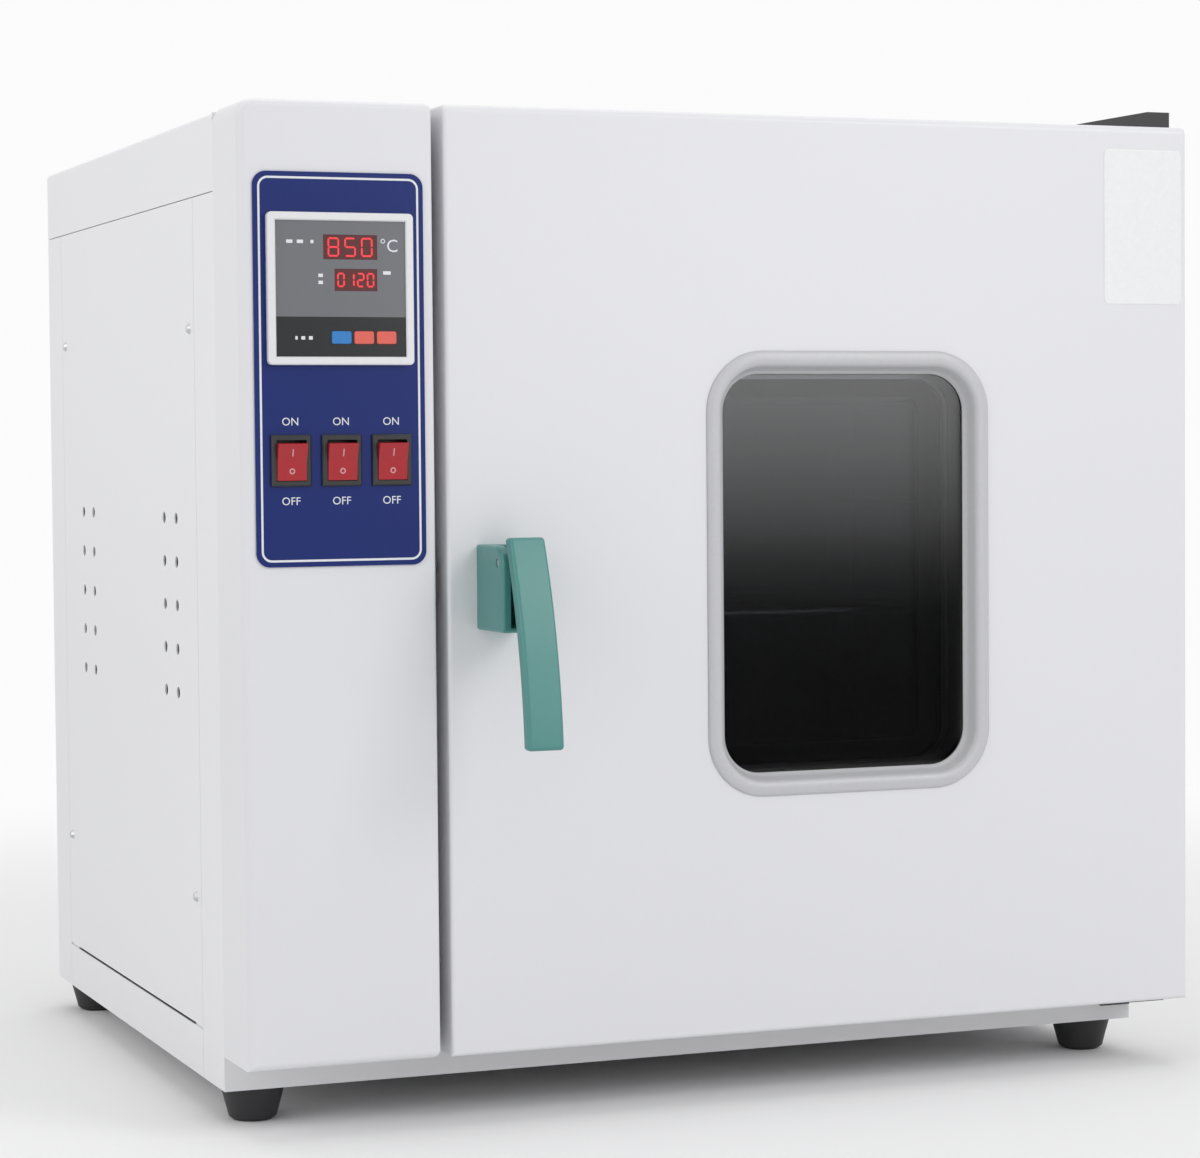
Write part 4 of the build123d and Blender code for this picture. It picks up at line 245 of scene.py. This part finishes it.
def plain(name, colour, roughness, metallic=0.0, depth=0.0002):
    """A moulded or bare finish: one colour, a faint mottle and a fine grain."""
    material, nodes, links, shader = new_material(name)
    place = nodes.new("ShaderNodeTexCoord")
    grain = nodes.new("ShaderNodeTexNoise")
    grain.inputs["Scale"].default_value = GRAIN_FINENESS
    links.new(place.outputs["Object"], grain.inputs["Vector"])
    bump = nodes.new("ShaderNodeBump")
    bump.inputs["Strength"].default_value = GRAIN_STRENGTH
    bump.inputs["Distance"].default_value = depth
    links.new(grain.outputs["Fac"], bump.inputs["Height"])
    links.new(bump.outputs["Normal"], shader.inputs["Normal"])
    tone = nodes.new("ShaderNodeMix")
    tone.data_type = "RGBA"
    tone.inputs[COLOUR_A].default_value = (*(GRAIN_TONE * c for c in colour), 1)
    tone.inputs[COLOUR_B].default_value = (*colour, 1)
    links.new(grain.outputs["Fac"], tone.inputs[0])
    links.new(tone.outputs[COLOUR_OUT], shader.inputs["Base Color"])
    shader.inputs["Roughness"].default_value = roughness
    shader.inputs["Metallic"].default_value = metallic
    return material


finish_nodes(plain("rubber", (0.022, 0.022, 0.024), 0.55), "feet")
finish_nodes(plain("wool", (0.6, 0.55, 0.38), 0.95), "insulation", "door_wool")
zinc = plain("zinc", (0.55, 0.56, 0.57), 0.4, 1.0)
finish_nodes(zinc, "compartment_wall", "relay")
nickel = plain("nickel", (0.6, 0.6, 0.6), 0.25, 1.0)
finish_nodes(nickel, "panel_screws")
black_moulding = plain("black_moulding", (0.018, 0.018, 0.02), 0.35)
finish_nodes(black_moulding, "cable_gland", "exhaust_cap")


# Chamber: bare stainless sheet and rod for the liner, its baffle, floor, ladders and shelves.
# The heater, probe, fan and shaft look the same, and the fan's motor is enamelled black.
stainless = plain("stainless", (0.50, 0.50, 0.50), 0.35, 1.0, depth=0.00003)
finish_nodes(stainless, "chamber_liner", "duct_baffle", "chamber_floor", "shelf_ladders",
             "shelf_lower", "shelf_upper", "fan_impeller", "fan_shaft", "heater_elements",
             "temperature_probe")
black_enamel = plain("black_enamel", (0.015, 0.015, 0.016), 0.4, depth=0.00002)
finish_nodes(black_enamel, "fan_motor")


# Door fittings: stainless for the door's liner, middle frame and keeper, black enamel for the
# brackets and the window's inner parts, a red silicone gasket, a zinc-plated latch case,
# bright pins, bolt and hinge blocks, and a black moulded cap over the upper bracket.
finish_nodes(stainless, "door_liner", "mid_frame", "keeper")
finish_nodes(black_enamel, "upper_bracket", "lower_bracket", "inner_frame", "window_tunnel")
finish_nodes(plain("silicone", (0.45, 0.12, 0.08), 0.5), "door_gasket")
finish_nodes(zinc, "latch_case")
finish_nodes(nickel, "hinge_pins", "lever_pin", "latch_bolt", "hinge_blocks")
finish_nodes(black_moulding, "hinge_cover")


# Handle: a boss on the door and the lever that turns in it, both moulded in teal plastic
# with a satin face.
finish_nodes(plain("teal", (0.070, 0.255, 0.235), 0.30), "handle_boss", "handle_lever")


# Controls: a black case behind a white moulded bezel, dark red display windows, one blue and
# two red keys, and three red rockers in black housings.
finish_nodes(black_moulding, "controller_case", "switch_housings")
finish_nodes(plain("white_moulding", (0.80, 0.80, 0.82), 0.3), "controller_bezel")
finish_nodes(plain("display", (0.10, 0.01, 0.012), 0.2), "displays")
finish_nodes(plain("blue_key", (0.02, 0.20, 0.55), 0.4), "key_1")
finish_nodes(plain("red_key", (0.75, 0.12, 0.09), 0.4), "key_2", "key_3")
finish_nodes(plain("red_moulding", (0.42, 0.012, 0.02), 0.25), "rocker_1", "rocker_2", "rocker_3")


# Control plate: a blue printed film under the controller and the switches. A white line is
# printed inside its edge, and the words by the switches are printed in the same white.
PRINT_LIFT, PRINT_STEPS = 0.00012, 3
LINE_INSET, LINE_WIDTH, LINE_RADIUS = 0.0032, 0.0014, 0.0068
WORD_HEIGHT, WORD_RISE = 0.0072, 0.0255
FILM_SHEEN = 0.3


def low_high(name):
    """The lowest and highest corner of a CAD node, as two arrays."""
    low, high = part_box(name)
    return np.array(low), np.array(high)


def rounded_loop(middle, size, radius, steps=10):
    """Points round a rounded rectangle in X and Z. On corner k, at angle t from k pi/2 to
    (k+1) pi/2, the point is corner + radius (cos t, sin t)."""
    half = np.array(size) / 2 - radius
    turns = np.array([(1, 1), (-1, 1), (-1, -1), (1, -1)])
    angles = np.linspace(0, np.pi / 2, steps)[None, :] + np.arange(4)[:, None] * np.pi / 2
    arcs = (turns * half)[:, None, :] + radius * np.stack([np.cos(angles), np.sin(angles)], 2)
    return arcs.reshape(-1, 2) + np.array(middle)


def closed_grid(rows, columns):
    """Faces between neighbouring rows of points, each row closed on itself."""
    row, column = np.mgrid[0:rows - 1, 0:columns]
    after = (column + 1) % columns
    faces = np.stack([row * columns + column, row * columns + after,
                      (row + 1) * columns + after, (row + 1) * columns + column], -1)
    return faces.reshape(-1, 4)


def printed_line(name, middle, size, radius, width, y, material):
    """A flat ring of one width: the space between a rounded loop and the same loop moved in."""
    outer = rounded_loop(middle, size, radius)
    inner = rounded_loop(middle, np.array(size) - 2 * width, radius - width)
    points = np.concatenate([outer, inner])
    verts = np.column_stack([points[:, 0], np.full(len(points), y), points[:, 1]])
    return new_object(name, verts, closed_grid(2, len(outer))[:, ::-1], material)


def printed_words(name, words, height, middle, y, material):
    """Lettering as a mesh: the font's plane X, Y laid on the oven's X, Z at depth y."""
    curve = bpy.data.curves.new(name, "FONT")
    curve.body = words
    curve.size = height
    curve.align_x = "CENTER"
    curve.align_y = "CENTER"
    curve.resolution_u = PRINT_STEPS
    holder = bpy.data.objects.new(name, curve)
    bpy.context.scene.collection.objects.link(holder)
    bpy.context.view_layer.update()
    mesh = bpy.data.meshes.new_from_object(holder)
    bpy.data.objects.remove(holder)
    flat = np.zeros(len(mesh.vertices) * 3)
    mesh.vertices.foreach_get("co", flat)
    flat = flat.reshape(-1, 3)
    placed = np.column_stack([flat[:, 0] + middle[0], np.full(len(flat), y),
                              flat[:, 1] + middle[1]])
    mesh.vertices.foreach_set("co", placed.ravel())
    mesh.materials.clear()
    mesh.materials.append(material)
    piece = bpy.data.objects.new(name, mesh)
    bpy.context.scene.collection.objects.link(piece)
    return piece


blue_film = plain("blue_film", (0.0016, 0.016, 0.150), 0.34)
film_shader = blue_film.node_tree.nodes["Principled BSDF"]
film_shader.inputs["Specular IOR Level"].default_value = FILM_SHEEN
finish_nodes(blue_film, "control_plate")
white_print = plain("white_print", (0.78, 0.80, 0.84), 0.5)
plate_low, plate_high = low_high("control_plate")
plate_mid = (plate_low + plate_high) / 2
plate_size = plate_high - plate_low
print_face = plate_low[1] - PRINT_LIFT
plate_line = printed_line("plate_line", plate_mid[[0, 2]], plate_size[[0, 2]] - 2 * LINE_INSET,
                          LINE_RADIUS, LINE_WIDTH, print_face, white_print)
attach(plate_line, "root")
for number in (1, 2, 3):
    rocker_low, rocker_high = low_high(f"rocker_{number}")
    rocker_mid = (rocker_low + rocker_high) / 2
    for word, rise in (("ON", WORD_RISE), ("OFF", -WORD_RISE)):
        lettering = printed_words(f"switch_{number}_{word.lower()}", word, WORD_HEIGHT,
                                  (rocker_mid[0], rocker_mid[2] + rise), print_face,
                                  white_print)
        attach(lettering, "root")


# Controller screen: a grey plate with a black band at its foot, two red seven-bar displays,
# a degree sign and small white marks, all printed or lit behind a clear skin.
BAND_HEIGHT, BAND_COLOUR = 0.0256, (0.006, 0.007, 0.009)
SKIN_COLOUR, SKIN_ROUGHNESS = (0.155, 0.16, 0.175), 0.18
screen_low = low_high("controller_screen")[0]
screen_skin, nodes, links, shader = new_material("screen_skin")
place = nodes.new("ShaderNodeTexCoord")
axes = nodes.new("ShaderNodeSeparateXYZ")
links.new(place.outputs["Object"], axes.inputs[0])
above_band = nodes.new("ShaderNodeMath")
above_band.operation = "GREATER_THAN"
above_band.inputs[1].default_value = screen_low[2] + BAND_HEIGHT
links.new(axes.outputs["Z"], above_band.inputs[0])
skin_tone = nodes.new("ShaderNodeMix")
skin_tone.data_type = "RGBA"
skin_tone.inputs[COLOUR_A].default_value = (*BAND_COLOUR, 1)
skin_tone.inputs[COLOUR_B].default_value = (*SKIN_COLOUR, 1)
links.new(above_band.outputs[0], skin_tone.inputs[0])
links.new(skin_tone.outputs[COLOUR_OUT], shader.inputs["Base Color"])
shader.inputs["Roughness"].default_value = SKIN_ROUGHNESS
finish_nodes(screen_skin, "controller_screen")

LIT_COLOUR, LIT_ROUGHNESS = (0.75, 0.03, 0.04), 0.4
GLOW_COLOUR, GLOW_STRENGTH = (1.0, 0.04, 0.06), 0.35
lit_red, nodes, links, shader = new_material("lit_red")
shader.inputs["Base Color"].default_value = (*LIT_COLOUR, 1)
shader.inputs["Emission Color"].default_value = (*GLOW_COLOUR, 1)
shader.inputs["Emission Strength"].default_value = GLOW_STRENGTH
shader.inputs["Roughness"].default_value = LIT_ROUGHNESS
BAR_THICK, BAR_GAP = 0.0012, 0.2
BARS_OF = {"0": "abcdef", "1": "bc", "2": "abged", "5": "afgcd", "8": "abcdefg"}
BAR_ENDS = {"a": ((0, 2), (1, 2)), "b": ((1, 2), (1, 1)), "c": ((1, 1), (1, 0)),
            "d": ((0, 0), (1, 0)), "e": ((0, 1), (0, 0)), "f": ((0, 2), (0, 1)),
            "g": ((0, 1), (1, 1))}


def lit_number(name, digits, middle, pitch, size, thickness, y, material):
    """Seven-bar digits. A bar is a flat hexagon from p to q, which lie BAR_GAP of a half
    thickness inside its two ends. Its four shoulders are a half thickness further in than
    p and q, and a half thickness to each side."""
    verts, faces = [], []
    width, height = size
    for place, digit in enumerate(digits):
        left = middle[0] + (place - (len(digits) - 1) / 2) * pitch - width / 2
        for bar in BARS_OF[digit]:
            ends = np.array(BAR_ENDS[bar], float) * (width, height / 2)
            ends = ends + (left, middle[1] - height / 2)
            along = (ends[1] - ends[0]) / np.linalg.norm(ends[1] - ends[0])
            aside = np.array([-along[1], along[0]]) * thickness / 2
            inset = along * thickness / 2
            p, q = ends[0] + inset * BAR_GAP, ends[1] - inset * BAR_GAP
            ring = [p, p + inset + aside, q - inset + aside,
                    q, q - inset - aside, p + inset - aside]
            faces.append([len(verts) + n for n in range(6)])
            verts += [(x, y, z) for x, z in ring]
    return new_object(name, verts, faces, material)


NUMBERS = (("upper_number", "850", (0.0065, 0.02675), 0.0112, (0.0066, 0.0112)),
           ("lower_number", "0120", (0.0101, 0.00575), 0.0066, (0.0040, 0.0082)))
display_face = low_high("displays")[0][1] - PRINT_LIFT
controller_low, controller_high = low_high("controller_bezel")
controller_mid = ((controller_low + controller_high) / 2)[[0, 2]]
for name, digits, offset, pitch, size in NUMBERS:
    number_piece = lit_number(name, digits, controller_mid + offset, pitch, size, BAR_THICK,
                              display_face, lit_red)
    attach(number_piece, "root")
DEGREE_HEIGHT, DEGREE_AT = 0.0115, (0.0325, 0.0275)
screen_face = screen_low[1] - PRINT_LIFT
degree_sign = printed_words("degree_sign", "°C", DEGREE_HEIGHT, controller_mid + DEGREE_AT,
                            screen_face, white_print)
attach(degree_sign, "root")
MARK_HEIGHT = 0.0022
MARKS = ((-0.034, 0.030, 0.0042), (-0.027, 0.030, 0.0042), (-0.019, 0.030, 0.0020),
         (-0.0135, 0.0085, 0.0030), (-0.0135, 0.0040, 0.0030), (0.031, 0.0105, 0.0052),
         (-0.030, -0.0315, 0.0016), (-0.0255, -0.0315, 0.0026), (-0.0205, -0.0315, 0.0026))
corners = np.array([(-0.5, -0.5), (0.5, -0.5), (0.5, 0.5), (-0.5, 0.5)])
marks = np.array(MARKS)
mark_sizes = np.stack([marks[:, 2], np.full(len(marks), MARK_HEIGHT)], 1)
spots = controller_mid + marks[:, None, :2] + corners[None] * mark_sizes[:, None, :]
spots = spots.reshape(-1, 2)
mark_points = np.column_stack([spots[:, 0], np.full(len(spots), screen_face), spots[:, 1]])
screen_marks = new_object("screen_marks", mark_points, np.arange(len(spots)).reshape(-1, 4),
                          white_print)
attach(screen_marks, "root")


# Rocker marks: a bar on the upper half of each red rocker and a ring on the lower half,
# printed in pale pink. They tilt with the rocker.
ROCKER_TILT = radians(11)
MARK_LENGTH, MARK_WIDTH, RING_R, RING_STEPS = 0.0050, 0.0008, 0.0019, 24
MARK_OUT = 0.00018
FACE_END, FACE_VALLEY, FACE_HALF = 0.0050, 0.0034, 0.0120
pale_print = plain("pale_print", (0.72, 0.36, 0.38), 0.5)


def on_rocker(points, pivot):
    """Lays flat points (x, v) on a rocker's face: u = -valley - (end - valley) |v| / half - out,
    then (y, z) = pivot + u (cos t, sin t) + v (-sin t, cos t), for the tilt t."""
    points = np.asarray(points, float)
    u = -FACE_VALLEY - (FACE_END - FACE_VALLEY) * np.abs(points[:, 1]) / FACE_HALF - MARK_OUT
    v = points[:, 1]
    return np.column_stack([pivot[0] + points[:, 0],
                            pivot[1] + u * cos(ROCKER_TILT) - v * sin(ROCKER_TILT),
                            pivot[2] + u * sin(ROCKER_TILT) + v * cos(ROCKER_TILT)])


joint_places = {joint["name"]: joint["pos_m"] for joint in frame["record"]["behaviour"]["joints"]
                if "pos_m" in joint}
for number in (1, 2, 3):
    pivot = joint_places[f"rocker_{number}_tilt"]
    rocker_low, rocker_high = low_high(f"rocker_{number}")
    pivot = ((rocker_low[0] + rocker_high[0]) / 2, pivot[1], pivot[2])
    bar = corners * (MARK_WIDTH, MARK_LENGTH) + (0, FACE_HALF / 2)
    turn = np.linspace(0, 2 * np.pi, RING_STEPS, endpoint=False)
    circle = np.column_stack([np.cos(turn), np.sin(turn)])
    rings = np.concatenate([circle * RING_R, circle * (RING_R - MARK_WIDTH)])
    rings = rings - (0, FACE_HALF / 2)
    ring_faces = closed_grid(2, len(turn))[:, ::-1] + 4
    mark_points = on_rocker(np.concatenate([bar, rings]), pivot)
    marks_piece = new_object(f"rocker_{number}_marks", mark_points,
                             np.concatenate([[[0, 1, 2, 3]], ring_faces]), pale_print)
    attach(marks_piece, f"switch_{number}")


# Blank plate: a bare white plastic film with a thin raised edge, stuck to the door's face
# near its upper right corner.
PLATE_FROM, PLATE_TO = (0.629, 0.498), (0.6915, 0.607)
PLATE_THICK, PLATE_RADIUS, PLATE_EDGE = 0.0005, 0.0035, 0.6
door_low = low_high("door_shell")[0]
shell_left = low_high("column_shell")[0][0]
blank_mid = (shell_left + (PLATE_FROM[0] + PLATE_TO[0]) / 2,
             door_low[2] + (PLATE_FROM[1] + PLATE_TO[1]) / 2)
blank_size = np.subtract(PLATE_TO, PLATE_FROM)


def film_plate(name, middle, size, radius, y, thickness, material):
    """A thin plate: the loop at y, the same loop PLATE_EDGE of the thickness out, the loop at
    y - thickness drawn in by the thickness, and a lid on each end."""
    loops = [rounded_loop(middle, size, radius), rounded_loop(middle, size, radius),
             rounded_loop(middle, np.array(size) - 2 * thickness, radius - thickness)]
    depths = (y, y - PLATE_EDGE * thickness, y - thickness)
    verts = np.concatenate([np.column_stack([loop[:, 0], np.full(len(loop), depth), loop[:, 1]])
                            for loop, depth in zip(loops, depths)])
    count = len(loops[0])
    faces = closed_grid(3, count)[:, ::-1].tolist()
    mesh_faces = faces + [list(range(2 * count, 3 * count)), list(range(count))[::-1]]
    mesh = bpy.data.meshes.new(name)
    mesh.from_pydata(verts.tolist(), [], mesh_faces)
    mesh.materials.append(material)
    piece = bpy.data.objects.new(name, mesh)
    bpy.context.scene.collection.objects.link(piece)
    return piece


white_film = plain("white_film", (0.86, 0.87, 0.88), 0.22)
blank_plate = film_plate("blank_plate", blank_mid, blank_size, PLATE_RADIUS, door_low[1],
                         PLATE_THICK, white_film)
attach(blank_plate, "door")


# Window bezel: a moulded pale grey ring with a soft outer edge and a lip that slopes in to
# the pane. Its section is carried round the opening's rounded rectangle.
OPENING_SIZE, OPENING_R = (0.1825, 0.272), 0.026
BEZEL_OUT = 0.014
bezel_low, bezel_high = low_high("window_bezel")
bezel_mid = ((bezel_low + bezel_high) / 2)[[0, 2]]
BEZEL_SECTION = ((BEZEL_OUT + 0.0015, 0.0000), (BEZEL_OUT + 0.0010, -0.0014),
                 (BEZEL_OUT - 0.0008, -0.0023), (BEZEL_OUT - 0.0040, -0.0027),
                 (0.0075, -0.0026), (0.0058, -0.0018), (0.0046, 0.0000), (0.0030, 0.0040),
                 (0.0010, 0.0078), (0.0000, 0.0082), (0.0000, 0.0095),
                 (BEZEL_OUT - 0.0004, 0.0095), (BEZEL_OUT - 0.0004, 0.0005))


def carried_ring(name, section, middle, size, radius, face, material, steps=16):
    """A closed section carried round a rounded rectangle. Row k of the grid is the loop grown
    by section[k][0], at depth face + section[k][1]; the last row closes on the first."""
    rows = []
    for grow, depth in section + section[:1]:
        loop = rounded_loop(middle, np.array(size) + 2 * grow, radius + grow, steps)
        rows.append(np.column_stack([loop[:, 0], np.full(len(loop), face + depth), loop[:, 1]]))
    count = len(rows[0])
    faces = closed_grid(len(rows) - 1, count)
    seam = np.stack([np.arange(count) + (len(section) - 1) * count,
                     (np.arange(count) + 1) % count + (len(section) - 1) * count,
                     (np.arange(count) + 1) % count, np.arange(count)], -1)
    return new_object(name, np.concatenate(rows[:-1]), np.concatenate([faces, seam])[:, ::-1],
                      material, smooth=True)


bezel_grey = plain("bezel_grey", (0.56, 0.56, 0.585), 0.34)
bezel_ring = carried_ring("bezel_ring", BEZEL_SECTION, bezel_mid, OPENING_SIZE, OPENING_R,
                          door_low[1], bezel_grey)
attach(bezel_ring, "door")
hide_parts("window_bezel")


# Window glass: two panes whose colour holds a painted reflection and painted shade that deepen
# downwards, so the foot of the window is near black, and a light card that only their gloss picks
# up at the top.
# Painted reflection and shade: the panes' colour runs from near black at the foot to pale grey at
# the top.
PAINTED_SHADE_FOOT, PAINTED_REFLECTION_TOP = (0.10, 0.10, 0.11), (0.62, 0.64, 0.66)
PANE_ROUGHNESS, PANE_IOR = 0.03, 1.45
pane_low, pane_high = low_high("outer_glass")
glass, nodes, links, shader = new_material("window_glass")
place = nodes.new("ShaderNodeTexCoord")
axes = nodes.new("ShaderNodeSeparateXYZ")
links.new(place.outputs["Object"], axes.inputs[0])
height = nodes.new("ShaderNodeMapRange")
height.inputs["From Min"].default_value = pane_low[2]
height.inputs["From Max"].default_value = pane_high[2]
links.new(axes.outputs["Z"], height.inputs["Value"])
# The painted reflection and shade, blended by height up the pane.
painted_fade = nodes.new("ShaderNodeMix")
painted_fade.data_type = "RGBA"
painted_fade.inputs[COLOUR_A].default_value = (*PAINTED_SHADE_FOOT, 1)
painted_fade.inputs[COLOUR_B].default_value = (*PAINTED_REFLECTION_TOP, 1)
links.new(height.outputs["Result"], painted_fade.inputs[0])
links.new(painted_fade.outputs[COLOUR_OUT], shader.inputs["Base Color"])
shader.inputs["Roughness"].default_value = PANE_ROUGHNESS
shader.inputs["Transmission Weight"].default_value = 1.0
shader.inputs["IOR"].default_value = PANE_IOR
finish_nodes(glass, "outer_glass", "inner_glass")

CARD_X, CARD_Y, CARD_Z = (0.55, 1.25), -2.3, (0.0, 0.9)
CARD_FROM, CARD_TO = 0.20, 0.62
CARD_STRENGTH = 4.0
card_light, nodes, links, shader = new_material("card_light")
place = nodes.new("ShaderNodeTexCoord")
axes = nodes.new("ShaderNodeSeparateXYZ")
links.new(place.outputs["Object"], axes.inputs[0])
rise = nodes.new("ShaderNodeMapRange")
rise.interpolation_type = "SMOOTHSTEP"
rise.inputs["From Min"].default_value = CARD_FROM
rise.inputs["From Max"].default_value = CARD_TO
rise.inputs["To Max"].default_value = CARD_STRENGTH
links.new(axes.outputs["Z"], rise.inputs["Value"])
glow = nodes.new("ShaderNodeEmission")
links.new(rise.outputs["Result"], glow.inputs["Strength"])
links.new(glow.outputs["Emission"], nodes["Material Output"].inputs["Surface"])
card = new_object("studio_card",
                  [(CARD_X[0], CARD_Y, CARD_Z[0]), (CARD_X[1], CARD_Y, CARD_Z[0]),
                   (CARD_X[1], CARD_Y, CARD_Z[1]), (CARD_X[0], CARD_Y, CARD_Z[1])],
                  [(0, 1, 2, 3)], card_light)
card.visible_camera = False
card.visible_diffuse = False
card.visible_shadow = False
card.visible_transmission = False
